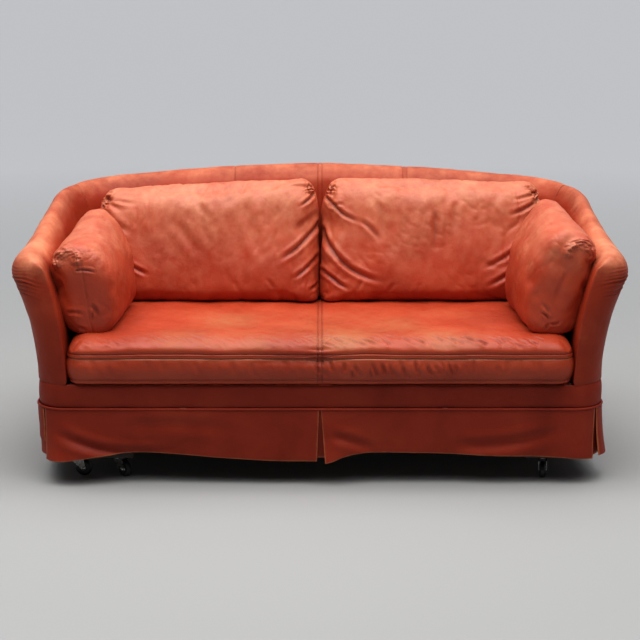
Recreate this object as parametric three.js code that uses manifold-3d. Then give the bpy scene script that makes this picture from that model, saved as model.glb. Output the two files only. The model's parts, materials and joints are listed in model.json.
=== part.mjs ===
// A worn two-seat leather sofa with a curved tub back, loose cushions, a pleated skirt and castors.
// Millimetres, +Z up. The front faces -Y and the sitter's left is +X. The origin is on the floor,
// under the middle of the sofa.
import * as THREE from 'three';
import { mergeVertices } from 'three/addons/utils/BufferGeometryUtils.js';
import Module from 'manifold-3d';

const wasm = await Module();
wasm.setup();

// ---- Driving dimensions -------------------------------------------------------------------------

const GAP = 0.3; // between pieces that touch

// The wall is the arms and the back in one. Its foot line is its inner face at the deck, in plan.
const SEAT_HALF = 748; // middle of the sofa to the inner face of an arm
const BACK_Y = 280; // inner face of the back
const CORNER_R = 140; // inner radius where an arm turns into the back
const ARM_WALL = 90; // thickness of an arm at its foot, and the plan radius of the front corners
const BACK_WALL = 130; // thickness of the back at its foot
const WALL_FRONT = -340; // where the front of an arm starts to round over
const BACK_STRAIGHT = SEAT_HALF - CORNER_R; // half the straight part of the back
const REAR_Y = BACK_Y - CORNER_R; // where a side starts to turn into the back
const ARM_START = BACK_STRAIGHT + (CORNER_R * Math.PI) / 2; // along the foot line from the back's middle
const ARM_END = ARM_START + REAR_Y - WALL_FRONT;
const SHOULDER = 750; // along the foot line, the seam between the arm cover and the back cover

// The base in plan.
const BASE_HALF = SEAT_HALF + ARM_WALL;
const BASE_FRONT = WALL_FRONT - ARM_WALL;
const BASE_BACK = BACK_Y + BACK_WALL;
const RAIL = 28; // thickness of the beech rails

// Heights above the floor.
const PAD_BOTTOM = 68; // what the castor plates are screwed to
const RAIL_BOTTOM = 130;
const RAIL_TOP = 276;
const FOOT_Z = RAIL_TOP + 3; // bottom of the wall's padding
const DECK_Z = 303; // top of the padded deck, and the seam round the base
const SKIRT_TOP = 228;
const SKIRT_BOTTOM = 72;

const LEATHER = 2; // cover leather with its thin backing
const SKIRT = 3; // skirt leather, lined

const MATERIALS = {
  leather: new THREE.MeshStandardMaterial({ color: 0xb4452a, roughness: 0.48, metalness: 0 }),
  skirtLeather: new THREE.MeshStandardMaterial({ color: 0x9c3620, roughness: 0.55, metalness: 0 }),
  foam: new THREE.MeshStandardMaterial({ color: 0xe3d6b0, roughness: 0.95, metalness: 0 }),
  feather: new THREE.MeshStandardMaterial({ color: 0xeeeae0, roughness: 0.9, metalness: 0 }),
  cloth: new THREE.MeshStandardMaterial({ color: 0x5b2a1d, roughness: 0.95, metalness: 0 }),
  lining: new THREE.MeshStandardMaterial({ color: 0x161616, roughness: 0.95, metalness: 0 }),
  beech: new THREE.MeshStandardMaterial({ color: 0xc9a06c, roughness: 0.6, metalness: 0 }),
  plywood: new THREE.MeshStandardMaterial({ color: 0xd2b184, roughness: 0.65, metalness: 0 }),
  webbing: new THREE.MeshStandardMaterial({ color: 0x8f7a55, roughness: 0.9, metalness: 0 }),
  steel: new THREE.MeshStandardMaterial({ color: 0xb9bcc0, roughness: 0.3, metalness: 1 }),
  rubber: new THREE.MeshStandardMaterial({ color: 0x101010, roughness: 0.4, metalness: 0 }),
};

const sofa = new THREE.Group();

// ---- Helpers ------------------------------------------------------------------------------------

// A closed geometry as a manifold-3d solid, facing out whichever way its rings ran.
function solid(geometry) {
  const g = geometry.clone();
  g.deleteAttribute('normal');
  g.deleteAttribute('uv');
  const merged = mergeVertices(g, 1e-3);
  const triVerts = new Uint32Array(merged.index.array);
  const vertProperties = new Float32Array(merged.attributes.position.array);
  const made = new wasm.Manifold(new wasm.Mesh({ numProp: 3, vertProperties, triVerts }));
  if (made.volume() > 0) return made;
  for (let i = 0; i < triVerts.length; i += 3) {
    [triVerts[i + 1], triVerts[i + 2]] = [triVerts[i + 2], triVerts[i + 1]];
  }
  return new wasm.Manifold(new wasm.Mesh({ numProp: 3, vertProperties, triVerts }));
}

// A manifold-3d solid as a geometry.
function geometryOf(made) {
  const mesh = made.getMesh();
  const g = new THREE.BufferGeometry();
  g.setAttribute('position', new THREE.BufferAttribute(new Float32Array(mesh.vertProperties), 3));
  g.setIndex(new THREE.BufferAttribute(new Uint32Array(mesh.triVerts), 1));
  g.computeVertexNormals();
  return g;
}

// Adds a named piece, from a geometry or a manifold-3d solid, and returns its mesh.
function add(name, shape, material, parent = sofa) {
  const geometry = shape.isBufferGeometry ? shape : geometryOf(shape);
  const mesh = new THREE.Mesh(geometry, material);
  mesh.name = name;
  parent.add(mesh);
  return mesh;
}

// A box between two corners.
function block(low, high) {
  const size = high.map((h, i) => h - low[i]);
  const g = new THREE.BoxGeometry(...size);
  return g.translate(...low.map((l, i) => l + size[i] / 2));
}

// An upright prism over a shape in plan, between two heights.
function prism(shape, low, high) {
  const g = new THREE.ExtrudeGeometry(shape, { depth: high - low, bevelEnabled: false, curveSegments: 6 });
  return g.translate(0, 0, low);
}

// A closed skin over rings of points, with flat ends. Every ring holds the same number of points.
function loft(rings) {
  const n = rings[0].length;
  const points = rings.flat();
  const index = [];
  for (let r = 0; r < rings.length - 1; r += 1) {
    for (let i = 0; i < n; i += 1) {
      const a = r * n + i;
      const b = r * n + ((i + 1) % n);
      index.push(a, b, b + n, a, b + n, a + n);
    }
  }
  [0, rings.length - 1].forEach((r) => {
    const flat = rings[r].map((p) => p.clone());
    const x = flat[1].clone().sub(flat[0]).normalize();
    const normal = new THREE.Vector3();
    flat.forEach((p, i) => normal.add(p.clone().cross(flat[(i + 1) % n])));
    normal.normalize();
    const y = normal.clone().cross(x);
    const outline = flat.map((p) => new THREE.Vector2(p.dot(x), p.dot(y)));
    THREE.ShapeUtils.triangulateShape(outline, []).forEach((t) => {
      const face = t.map((i) => r * n + i);
      index.push(...(r === 0 ? face.reverse() : face));
    });
  });
  const g = new THREE.BufferGeometry().setFromPoints(points);
  return g.setIndex(index);
}

// Evenly spaced numbers from a to b, both included.
function span(a, b, steps) {
  return Array.from({ length: steps + 1 }, (_, i) => a + ((b - a) * i) / steps);
}

// ---- The curved wall ----------------------------------------------------------------------------

// A point of the foot line and its outward direction, at a distance from the middle of the back
// towards the front of an arm. A negative distance is the other side.
function footLine(distance) {
  const side = Math.sign(distance) || 1;
  const d = Math.abs(distance);
  const angle = THREE.MathUtils.clamp((d - BACK_STRAIGHT) / CORNER_R, 0, Math.PI / 2);
  const out = new THREE.Vector2(Math.sin(angle), Math.cos(angle));
  const x = Math.min(d, BACK_STRAIGHT) + CORNER_R * out.x;
  const y = REAR_Y + CORNER_R * out.y - Math.max(0, d - ARM_START);
  return { point: new THREE.Vector2(side * x, y), out: new THREE.Vector2(side * out.x, out.y) };
}

// The height of the wall's top as [distance, height]: nearly level along the back, then down over the
// shoulder to the front of the arm.
const RIDGE = new THREE.SplineCurve([
  [0, 849], [300, 838], [BACK_STRAIGHT, 813], [SHOULDER, 795], [ARM_START, 782], [990, 750], [1090, 722],
  [1200, 697], [ARM_END, 686],
].map((p) => new THREE.Vector2(...p)));

function ridge(distance) {
  let [low, high] = [0, 1];
  for (let i = 0; i < 30; i += 1) {
    const middle = (low + high) / 2;
    if (RIDGE.getPoint(middle).x < Math.abs(distance)) low = middle;
    else high = middle;
  }
  return RIDGE.getPoint(low).y;
}

// How thick the wall is at its foot.
function footWidth(distance) {
  const turn = THREE.MathUtils.smoothstep(Math.abs(distance), BACK_STRAIGHT, ARM_START);
  return THREE.MathUtils.lerp(BACK_WALL, ARM_WALL, turn);
}

const SECTION_STEPS = 11; // round the wall's section
const LEAN = 60; // how far the inner face leans out, from foot to top
const [FLARE, FRONT_FLARE] = [31, 66]; // how far the top overhangs the outer foot, and at an arm's front

// The wall's cross-section as [distance out from the foot line, height], from its inner foot over
// the rolled top to its outer foot. It flares outwards, most at the front of the arms. drop carries
// its two faces straight on below their feet.
function section(distance, grow, drop) {
  const front = THREE.MathUtils.smoothstep(Math.abs(distance), ARM_START + 60, ARM_END);
  const foot = footWidth(distance);
  const flare = THREE.MathUtils.lerp(FLARE, FRONT_FLARE, front);
  const top = ridge(distance);
  const roll = foot + flare - LEAN;
  const points = [
    [0, FOOT_Z],
    [LEAN * 0.14, FOOT_Z + 0.4 * (top - FOOT_Z)],
    [LEAN * 0.7, top - 92],
    [LEAN + 0.08 * roll, top - 26],
    [LEAN + 0.46 * roll, top],
    [LEAN + 0.86 * roll, top - 18],
    [foot + flare, top - 58],
    [foot + flare * 0.7, top - 112],
    [foot + flare * 0.28, top - 210],
    [foot + flare * 0.05, FOOT_Z + 90],
    [foot, FOOT_Z],
  ];
  const curve = new THREE.SplineCurve(points.map((p) => new THREE.Vector2(...p)));
  const line = curve.getPoints(SECTION_STEPS);
  const last = line.length - 1;
  const grown = line.map((p, i) => {
    const along = line[Math.min(i + 1, last)].clone().sub(line[Math.max(i - 1, 0)]).normalize();
    const foot = i === 0 || i === last;
    return new THREE.Vector2(p.x - along.y * grow, foot ? p.y : p.y + along.x * grow);
  });
  [[0, 1], [last, last - 1]].forEach(([foot, next]) => {
    grown[foot].lerp(grown[next], -drop / (grown[next].y - grown[foot].y));
  });
  return grown;
}

// One ring of the wall. turn, in radians, rounds an arm's front over: the ring moves forward as it
// narrows, less at the top than at the foot.
function wallRing(distance, grow, drop, turn = 0) {
  const { point, out } = footLine(distance);
  const top = ridge(distance);
  const forward = turn ? (ARM_WALL + grow) * Math.sin(turn) : 0;
  return section(distance, grow, drop).map(({ x: w, y: z }) => {
    const height = (z - FOOT_Z) / (top - FOOT_Z);
    const narrow = 1 - (1 - Math.cos(turn)) * (1 - 0.5 * height);
    const x = w > 0 ? w * narrow : w;
    const lower = 40 * height * (1 - Math.cos(turn));
    return new THREE.Vector3(point.x + out.x * x, point.y + out.y * x - forward, z - lower);
  });
}

// Where the wall's rings are, along the foot line: close together round the corners.
const ARC_KNOTS = [BACK_STRAIGHT, 680, SHOULDER, ARM_START];
const WALL_KNOTS = [0, 300, ...ARC_KNOTS, ...span(ARM_START, ARM_END, 3).slice(1)];
const NOSE_TURNS = [0.45, 0.85, 1.22];

// The numbers from one end to the other with the knots that lie between, on either side of the middle.
function rings(from, to, knots) {
  const both = [...knots.map((k) => -k), ...knots].filter((k) => k > Math.min(from, to) && k < Math.max(from, to));
  const inner = [...new Set(both)].sort((a, b) => (a - b) * Math.sign(to - from));
  return [from, ...inner.filter((k) => Math.abs(k - from) > 1 && Math.abs(k - to) > 1), to];
}

// The wall from one distance to another. open carries it straight on past a seam end, and drop takes
// its foot down, to make the inside of a cover. An arm's end gets its rounded front.
function wall(from, to, grow, open = 0, drop = 0) {
  const made = rings(from, to, WALL_KNOTS).map((d) => wallRing(d, grow, drop));
  const beyond = (ring, d, away) => {
    const { out } = footLine(d);
    const along = new THREE.Vector3(out.y, -out.x, 0).multiplyScalar(Math.sign(d) * away * open);
    return ring.map((p) => p.clone().add(along));
  };
  if (open) made.unshift(beyond(made[0], from, from * to > 0 ? -1 : 1));
  if (Math.abs(to) >= ARM_END) NOSE_TURNS.forEach((turn) => made.push(wallRing(to, grow, drop, turn)));
  else if (open) made.push(beyond(made[made.length - 1], to, 1));
  return solid(loft(made));
}

// ---- The base outline ---------------------------------------------------------------------------

// The base outline starts at the middle of the front, goes round the +X side and ends at the middle
// of the back. Its rear part is the wall's outer foot.
const FRONT_ARC = (ARM_WALL * Math.PI) / 2;
const SIDE_START = SEAT_HALF + FRONT_ARC;
const SIDE_LENGTH = ARM_END - ARM_START;
const SIDE_END = SIDE_START + SIDE_LENGTH;
const REAR_ARC = ARM_START - BACK_STRAIGHT; // counted along the foot line
const HALF_ROUND = SIDE_END + ARM_START;
const BASE_KNOTS = [
  0, 374, ...span(SEAT_HALF, SIDE_START, 5), SIDE_START + SIDE_LENGTH / 2,
  ...ARC_KNOTS.map((d) => SIDE_END + ARM_START - d).reverse(), SIDE_END + ARM_START - 300,
];

// A point of the base outline and its outward direction. Past the middle of the back it comes round
// the -X side.
function baseLine(distance) {
  const far = distance > HALF_ROUND ? distance - 2 * HALF_ROUND : distance;
  const side = Math.sign(far) || 1;
  const d = Math.abs(far);
  if (d > SIDE_START) {
    const along = ARM_START - (d - SIDE_END);
    const { point, out } = footLine(along);
    const outer = point.clone().addScaledVector(out, footWidth(along));
    return { point: outer.setX(side * outer.x), out: out.setX(side * out.x) };
  }
  const angle = Math.max(0, d - SEAT_HALF) / ARM_WALL;
  const out = new THREE.Vector2(Math.sin(angle), -Math.cos(angle));
  const point = new THREE.Vector2(Math.min(d, SEAT_HALF), WALL_FRONT).addScaledVector(out, ARM_WALL);
  return { point: point.setX(side * point.x), out: out.setX(side * out.x) };
}

// A point at a distance round the base, stood off it by w.
function offBase(distance, w) {
  const { point, out } = baseLine(distance);
  return point.clone().addScaledVector(out, w);
}

// The base outline as a solid between two heights, grown or shrunk in plan.
function base(grow, low, high) {
  const half = [...BASE_KNOTS, HALF_ROUND].map((d) => offBase(d, grow));
  const other = half.slice(1, -1).map((p) => new THREE.Vector2(-p.x, p.y)).reverse();
  return solid(prism(new THREE.Shape([...half, ...other]), low, high));
}

const belowSeam = base(60, -10, DECK_Z + GAP).subtract(base(-20, -20, DECK_Z + 10));

// A cover is a leather shell over the padding, open at the bottom and at its shoulder seam.
function cover(from, to) {
  return wall(from, to, 0.4 + LEATHER).subtract(wall(from, to, 0.4, 8, 30)).subtract(belowSeam);
}

// ---- Frame --------------------------------------------------------------------------------------

function addRails() {
  const z = [RAIL_BOTTOM, RAIL_TOP];
  const frontX = SEAT_HALF;
  add('base_rail_front', block([-frontX, BASE_FRONT, z[0]], [frontX, BASE_FRONT + RAIL, z[1]]), MATERIALS.beech);
  const backX = BACK_STRAIGHT - GAP;
  add('base_rail_back', block([-backX, BASE_BACK - RAIL, z[0]], [backX, BASE_BACK, z[1]]), MATERIALS.beech);
  [['left', -1], ['right', 1]].forEach(([name, side]) => {
    const x = [side * BASE_HALF, side * (BASE_HALF - RAIL)].sort((a, b) => a - b);
    const rail = block([x[0], WALL_FRONT + GAP, z[0]], [x[1], REAR_Y, z[1]]);
    add(`base_rail_${name}`, rail, MATERIALS.beech);
  });
  const crossY = [BASE_FRONT + RAIL + GAP, BASE_BACK - RAIL - GAP];
  add('base_cross_rail', block([-20, crossY[0], 150], [20, crossY[1], 236]), MATERIALS.beech);
}

// What each castor is screwed to: the foot of a corner block, as its [low, high] corners in plan.
const PAD_FRONT = BASE_FRONT + RAIL + GAP;
const PADS = {
  front_left: [[-766, PAD_FRONT], [-560, -300]],
  front_right: [[614, PAD_FRONT], [732, -300]],
  rear_left: [[-745, 200], [-625, 310]],
  rear_right: [[625, 200], [745, 310]],
};

function pad(name, low, high, grow = 0) {
  const [[x0, y0], [x1, y1]] = PADS[name];
  return solid(block([x0 - grow, y0 - grow, low], [x1 + grow, y1 + grow, high]));
}

// A front corner is a rounded beech block behind the leather, with a foot that takes the castors.
function frontCorner(name, side) {
  const x = [side * (SEAT_HALF + GAP), side * (BASE_HALF + 1)].sort((a, b) => a - b);
  const quarter = solid(block([x[0], BASE_FRONT - 1, 0], [x[1], WALL_FRONT, 400]));
  const bridgeX = [side * 700, side * (BASE_HALF - 50)].sort((a, b) => a - b);
  const bridge = solid(block([bridgeX[0], PAD_FRONT, RAIL_BOTTOM], [bridgeX[1], WALL_FRONT, 200]));
  return base(0, RAIL_BOTTOM, RAIL_TOP).intersect(quarter).add(bridge).add(pad(name, PAD_BOTTOM, 200));
}

// A rear corner is a laminated curved rail with the same foot on its inner side.
function rearCorner(name, side) {
  const x = [side * (BACK_STRAIGHT + GAP), side * (BASE_HALF + 1)].sort((a, b) => a - b);
  const quarter = solid(block([x[0], REAR_Y + GAP, 0], [x[1], BASE_BACK + 1, 400]));
  const curved = base(0, RAIL_BOTTOM, RAIL_TOP).subtract(base(-40, 0, 400)).intersect(quarter);
  return curved.add(pad(name, PAD_BOTTOM, 200));
}

function addCorners() {
  add('corner_block_front_left', frontCorner('front_left', -1), MATERIALS.beech);
  add('corner_block_front_right', frontCorner('front_right', 1), MATERIALS.beech);
  add('corner_rail_rear_left', rearCorner('rear_left', -1), MATERIALS.beech);
  add('corner_rail_rear_right', rearCorner('rear_right', 1), MATERIALS.beech);
}

const FRAME_Z = RAIL_TOP + GAP;

// A block inside an arm, given for the +X side. grow makes the hollow that it fills in the padding.
function armBlock(side, low, high, grow) {
  const x = [side * low[0], side * high[0]].sort((a, b) => a - b);
  const bottom = low[2] === FRAME_Z ? FRAME_Z - 10 * grow : low[2] - grow;
  return solid(block([x[0] - grow, low[1] - grow, bottom], [x[1] + grow, high[1] + grow, high[2] + grow]));
}

// An arm frame is a plywood side with a front post and a top rail, standing on the side rail.
function armFrame(side, grow = 0) {
  const sheet = armBlock(side, [808, -330, FRAME_Z], [824, 80, 600], grow);
  const post = armBlock(side, [790, -336, FRAME_Z], [824, -300, 560], grow);
  const rail = armBlock(side, [806, -336, 592], [848, 80, 622], grow);
  return sheet.add(post).add(rail);
}

// The back frame is a plywood sheet with a beech top rail, standing on the back rail.
function backFrame(grow = 0) {
  const x = BACK_STRAIGHT - 8 + grow;
  const sheet = solid(block([-x, 380 - grow, FRAME_Z - 10 * grow], [x, 398 + grow, 740 + grow]));
  const rail = solid(block([-x, 366 - grow, 736 - grow], [x, 404 + grow, 774 + grow]));
  return sheet.add(rail);
}

function addUpperFrame() {
  add('arm_frame_left', armFrame(-1), MATERIALS.plywood);
  add('arm_frame_right', armFrame(1), MATERIALS.plywood);
  add('back_frame', backFrame(), MATERIALS.plywood);
}

// ---- Deck and lining ----------------------------------------------------------------------------

// Elastic webbing, stapled to the rails and to itself: five straps run back and two across.
function webbing() {
  const z = [RAIL_TOP + GAP, RAIL_TOP + GAP + 2];
  const lengthways = span(-560, 560, 4).map((x) => block([x - 30, -420, z[0]], [x + 30, 378, z[1]]));
  const across = span(-220, 100, 1).map((y) => block([-804, y - 30, z[0]], [804, y + 30, z[1]]));
  return [...lengthways, ...across].map(solid).reduce((all, one) => all.add(one));
}

// A rectangle in plan with rounded corners. radii run front left, front right, back right, back left.
function roundedPlan(x, front, back, radii) {
  const [a, b, c, d] = radii;
  const shape = new THREE.Shape();
  shape.absarc(-x + a, front + a, a, Math.PI, 1.5 * Math.PI);
  shape.absarc(x - b, front + b, b, 1.5 * Math.PI, 2 * Math.PI);
  shape.absarc(x - c, back - c, c, 0, Math.PI / 2);
  shape.absarc(-x + d, back - d, d, Math.PI / 2, Math.PI);
  shape.closePath();
  return shape;
}

function addDeck() {
  add('seat_webbing', webbing(), MATERIALS.webbing);
  const inner = CORNER_R + 8;
  const deck = roundedPlan(SEAT_HALF - 6, BASE_FRONT + 4, BACK_Y - 6, [12, 12, inner, inner]);
  add('deck_pad', prism(deck, RAIL_TOP + 3, DECK_Z), MATERIALS.cloth);
  let lining = base(-42, RAIL_BOTTOM + 1, RAIL_BOTTOM + 2.5);
  Object.keys(PADS).forEach((name) => {
    lining = lining.subtract(pad(name, 0, 400, 1));
  });
  [-1, 1].forEach((side) => {
    const x = [side * 698, side * (BASE_HALF + 1)].sort((a, b) => a - b);
    lining = lining.subtract(solid(block([x[0], BASE_FRONT - 1, 0], [x[1], WALL_FRONT + 1, 400])));
  });
  add('base_lining', lining, MATERIALS.lining);
}

// ---- Padding and covers -------------------------------------------------------------------------

function addWall() {
  [['left', -1], ['right', 1]].forEach(([name, side]) => {
    const padding = wall(side * (SHOULDER + GAP), side * ARM_END, 0).subtract(armFrame(side, GAP));
    add(`arm_padding_${name}`, padding, MATERIALS.foam);
    add(`arm_cover_${name}`, cover(side * (SHOULDER + GAP), side * ARM_END), MATERIALS.leather);
  });
  add('back_padding', wall(-SHOULDER, SHOULDER, 0).subtract(backFrame(GAP)), MATERIALS.foam);
  add('back_cover', cover(-SHOULDER, SHOULDER), MATERIALS.leather);
  const band = base(2 + LEATHER, SKIRT_TOP + 0.5, DECK_Z).subtract(base(2, 0, 400));
  add('base_cover', band, MATERIALS.leather);
}

// ---- Skirt --------------------------------------------------------------------------------------

const SKIRT_OFF = 5.2; // the skirt's inner face stands off the base by this at its top

// A length of skirt: a hanging strip that stands off the base by more at its hem than at its top.
function skirt(from, to, atTop, atHem, bottom = SKIRT_BOTTOM) {
  const corners = [[atTop, SKIRT_TOP], [atHem, bottom], [atHem + SKIRT, bottom], [atTop + SKIRT, SKIRT_TOP]];
  const all = [...BASE_KNOTS, ...BASE_KNOTS.map((k) => 2 * HALF_ROUND - k), HALF_ROUND];
  const made = rings(from, to, all).map((d) => corners.map(([w, z]) => {
    const { x, y } = offBase(d, w);
    return new THREE.Vector3(x, y, z);
  }));
  return solid(loft(made));
}

const CORNER_PLEAT = (SEAT_HALF + SIDE_START) / 2; // the slit in the skirt, halfway round a front corner
const REAR_PLEAT = SIDE_END + REAR_ARC * 0.45; // where a side skirt meets the back skirt
const PLEAT = 45; // half the width of the strip behind a slit

function addSkirt() {
  [['left', -1], ['right', 1]].forEach(([name, side]) => {
    const front = skirt(side * 3, side * (CORNER_PLEAT - 3), SKIRT_OFF, 8.5);
    add(`skirt_front_${name}`, front, MATERIALS.skirtLeather);
    const flank = skirt(side * (CORNER_PLEAT + 3), side * (REAR_PLEAT - 2), SKIRT_OFF, 11);
    add(`skirt_side_${name}`, flank, MATERIALS.skirtLeather);
    const pleat = skirt(side * (CORNER_PLEAT - PLEAT), side * (CORNER_PLEAT + PLEAT), 0.7, 1, SKIRT_BOTTOM + 8);
    add(`skirt_pleat_front_${name}`, pleat, MATERIALS.skirtLeather);
  });
  const back = skirt(REAR_PLEAT + 2, 2 * HALF_ROUND - REAR_PLEAT - 2, SKIRT_OFF, 11);
  add('skirt_back', back, MATERIALS.skirtLeather);
  const centre = skirt(-PLEAT, PLEAT, 0.7, 1, SKIRT_BOTTOM + 8);
  add('skirt_pleat_front_centre', centre, MATERIALS.skirtLeather);
}

// ---- Cushions -----------------------------------------------------------------------------------

// A cushion standing on the origin's plane: size along X, Y and Z, its plan corners' radii, and the
// radius of its rounded top and bottom edges. inset makes it smaller all round.
function cushionForm({ size, radii, edge }, inset = 0) {
  const [x, y] = [size[0] / 2 - inset - edge, size[1] / 2 - inset - edge];
  const outline = roundedPlan(x, -y, y, radii.map((r) => Math.max(r - edge, 6)));
  const depth = size[2] - 2 * inset - 2 * edge;
  const g = new THREE.ExtrudeGeometry(outline, {
    depth, bevelThickness: edge, bevelSize: edge, bevelSegments: 2, curveSegments: 2,
  });
  return solid(g.translate(0, 0, edge + inset));
}

// A leather case, slit where its zip is, and the filling it holds. slit is [length in X, length in Y]
// and at is where its middle crosses the case in plan.
function addCushion(name, fillName, form, slit, at, group) {
  const z = form.size[2] / 2;
  const low = [at[0] - slit[0] / 2, at[1] - slit[1] / 2, z - 3];
  const high = [at[0] + slit[0] / 2, at[1] + slit[1] / 2, z + 3];
  const skin = cushionForm(form).subtract(cushionForm(form, LEATHER)).subtract(solid(block(low, high)));
  const [kind, which] = name.split('_cushion');
  add(`${kind}_cushion_cover${which}`, skin, MATERIALS.leather, group);
  const material = fillName === 'foam' ? MATERIALS.foam : MATERIALS.feather;
  add(`${kind}_cushion_${fillName}${which}`, cushionForm(form, LEATHER + GAP), material, group);
}

const CUSHION_FRONT = BASE_FRONT - 10; // the seat cushion overhangs the front rail
const SEAT_CUSHION = { size: [1488, 706, 143], radii: [46, 46, 160, 160], edge: 34 };
const BACK_CUSHION = { size: [702, 164, 368], radii: [66, 66, 92, 92], edge: 60 };
const ARM_CUSHION = { size: [158, 410, 296], radii: [66, 66, 66, 66], edge: 62 };
const CUSHION_FOOT = DECK_Z + GAP + SEAT_CUSHION.size[2]; // where the loose cushions stand

function addCushions() {
  const seat = new THREE.Group();
  seat.position.set(0, CUSHION_FRONT + SEAT_CUSHION.size[1] / 2, DECK_Z + GAP);
  sofa.add(seat);
  addCushion('seat_cushion', 'foam', SEAT_CUSHION, [900, 100], [0, SEAT_CUSHION.size[1] / 2], seat);
  [['left', -1], ['right', 1]].forEach(([name, side]) => {
    const back = new THREE.Group();
    back.position.set(side * (BACK_CUSHION.size[0] / 2 + 3), 182, CUSHION_FOOT + 13);
    back.rotation.x = THREE.MathUtils.degToRad(-8);
    sofa.add(back);
    addCushion(`back_cushion_${name}`, 'fill', BACK_CUSHION, [460, 100], [0, BACK_CUSHION.size[1] / 2], back);
    const arm = new THREE.Group();
    arm.position.set(side * 664, -160, CUSHION_FOOT + 16);
    arm.rotation.order = 'ZYX';
    arm.rotation.set(0, side * THREE.MathUtils.degToRad(9), side * THREE.MathUtils.degToRad(3));
    sofa.add(arm);
    addCushion(`arm_cushion_${name}`, 'fill', ARM_CUSHION, [100, 220], [(side * ARM_CUSHION.size[0]) / 2, 0], arm);
  });
}

// ---- Castors ------------------------------------------------------------------------------------

// name, swivel axis in plan, and the way the wheel trails, in degrees from +X.
const CASTORS = [
  ['front_left_outer', -738, -352, -6],
  ['front_left_inner', -608, -352, -38],
  ['front_right', 673, -352, -96],
  ['rear_left', -685, 255, 60],
  ['rear_right', 685, 255, 118],
];
const WHEEL_R = 24;
const WHEEL_HALF = 9; // half the wheel's width
const TRAIL = 24; // swivel axis to wheel axle
const DISC_LOW = PAD_BOTTOM - 13.5; // the fork's disc, under the ball race
const DISC_TOP = PAD_BOTTOM - 9;
const AXLE_R = 3.5;
const WHEEL_SIDES = 16;
const FORK_IN = WHEEL_HALF + 1.1; // inner face of a fork leg
const FORK_OUT = FORK_IN + 3;

// A turned shape whose axis runs along Y, from its profile as [radius, distance along the axis].
function turned(profile, sides) {
  return new THREE.LatheGeometry(profile.map((p) => new THREE.Vector2(...p)), sides);
}

// The wheel: a hard tread with rounded shoulders, a thin web and a hub. Flats are tangent to the floor.
function wheel() {
  const r = WHEEL_R / Math.cos(Math.PI / WHEEL_SIDES);
  const h = WHEEL_HALF;
  const half = [[AXLE_R + GAP, h], [8, h], [10, h - 1.5], [17, h - 1.5], [19, h], [r, h - 4]];
  const far = half.map(([radius, y]) => [radius, -y]);
  const g = turned([...far, ...half.reverse(), far[0]], WHEEL_SIDES);
  return g.rotateY(Math.PI / WHEEL_SIDES);
}

// The axle: a riveted pin with a domed head at each end.
function axle() {
  const h = FORK_OUT + GAP;
  return turned([[0, -h - 2.2], [5.6, -h], [AXLE_R, -h], [AXLE_R, h], [5.6, h], [0, h + 2.2]], 12);
}

// The fork: a pressed steel disc under the ball race, with two legs down to the axle.
function fork() {
  const disc = new THREE.Shape().absarc(0, 0, 16.5, 0, 2 * Math.PI);
  disc.holes.push(new THREE.Path().absarc(0, 0, 4.6, 0, 2 * Math.PI, true));
  let made = solid(prism(disc, DISC_LOW, DISC_TOP));
  const leg = new THREE.Shape();
  leg.moveTo(-11, DISC_TOP);
  leg.lineTo(-9, DISC_LOW - 7);
  leg.lineTo(TRAIL - 7, WHEEL_R - 1);
  leg.absarc(TRAIL, WHEEL_R, 7, Math.PI, 2 * Math.PI);
  leg.lineTo(TRAIL + 3, DISC_LOW - 4);
  leg.lineTo(12, DISC_TOP);
  leg.closePath();
  leg.holes.push(new THREE.Path().absarc(TRAIL, WHEEL_R, AXLE_R + GAP, 0, 2 * Math.PI, true));
  [-FORK_OUT, FORK_IN].forEach((y) => {
    const g = new THREE.ExtrudeGeometry(leg, { depth: FORK_OUT - FORK_IN, bevelEnabled: false, curveSegments: 6 });
    made = made.add(solid(g.rotateX(Math.PI / 2).translate(0, y + FORK_OUT - FORK_IN, 0)));
  });
  return made;
}

// The plate: four screw holes, the ball-race housing under it, and the kingpin whose head holds the fork.
function plate() {
  const sheet = new THREE.Shape();
  sheet.moveTo(-21, -21).lineTo(21, -21).lineTo(21, 21).lineTo(-21, 21).closePath();
  [[-15.5, -15.5], [15.5, -15.5], [15.5, 15.5], [-15.5, 15.5]].forEach(([x, y]) => {
    sheet.holes.push(new THREE.Path().absarc(x, y, 2.2, 0, 2 * Math.PI, true));
  });
  const top = PAD_BOTTOM - GAP;
  const flat = new THREE.ExtrudeGeometry(sheet, { depth: 2.4, bevelEnabled: false, curveSegments: 3 });
  const pin = [[0, DISC_LOW - 1.9], [6.8, DISC_LOW - 0.4], [4, DISC_LOW - 0.3], [4, DISC_TOP + 0.4]];
  const race = turned([...pin, [15, DISC_TOP + 0.4], [16, top - 1], [0, top - 1]], 12).rotateX(Math.PI / 2);
  return solid(flat.translate(0, 0, top - 2.4)).add(solid(race));
}

function addCastors() {
  CASTORS.forEach(([name, x, y, trails]) => {
    const castor = new THREE.Group();
    castor.position.set(x, y, 0);
    castor.rotation.z = THREE.MathUtils.degToRad(trails);
    sofa.add(castor);
    const bolted = add(`castor_${name}_plate`, plate(), MATERIALS.steel, castor);
    bolted.rotation.z = -castor.rotation.z;
    add(`castor_${name}_fork`, fork(), MATERIALS.steel, castor);
    const rolling = new THREE.Group();
    rolling.position.set(TRAIL, 0, WHEEL_R);
    castor.add(rolling);
    add(`castor_${name}_wheel`, wheel(), MATERIALS.rubber, rolling);
    add(`castor_${name}_axle`, axle(), MATERIALS.steel, rolling);
  });
}

addRails();
addCorners();
addUpperFrame();
addDeck();
addWall();
addSkirt();
addCushions();
addCastors();

export default sofa;
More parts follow.
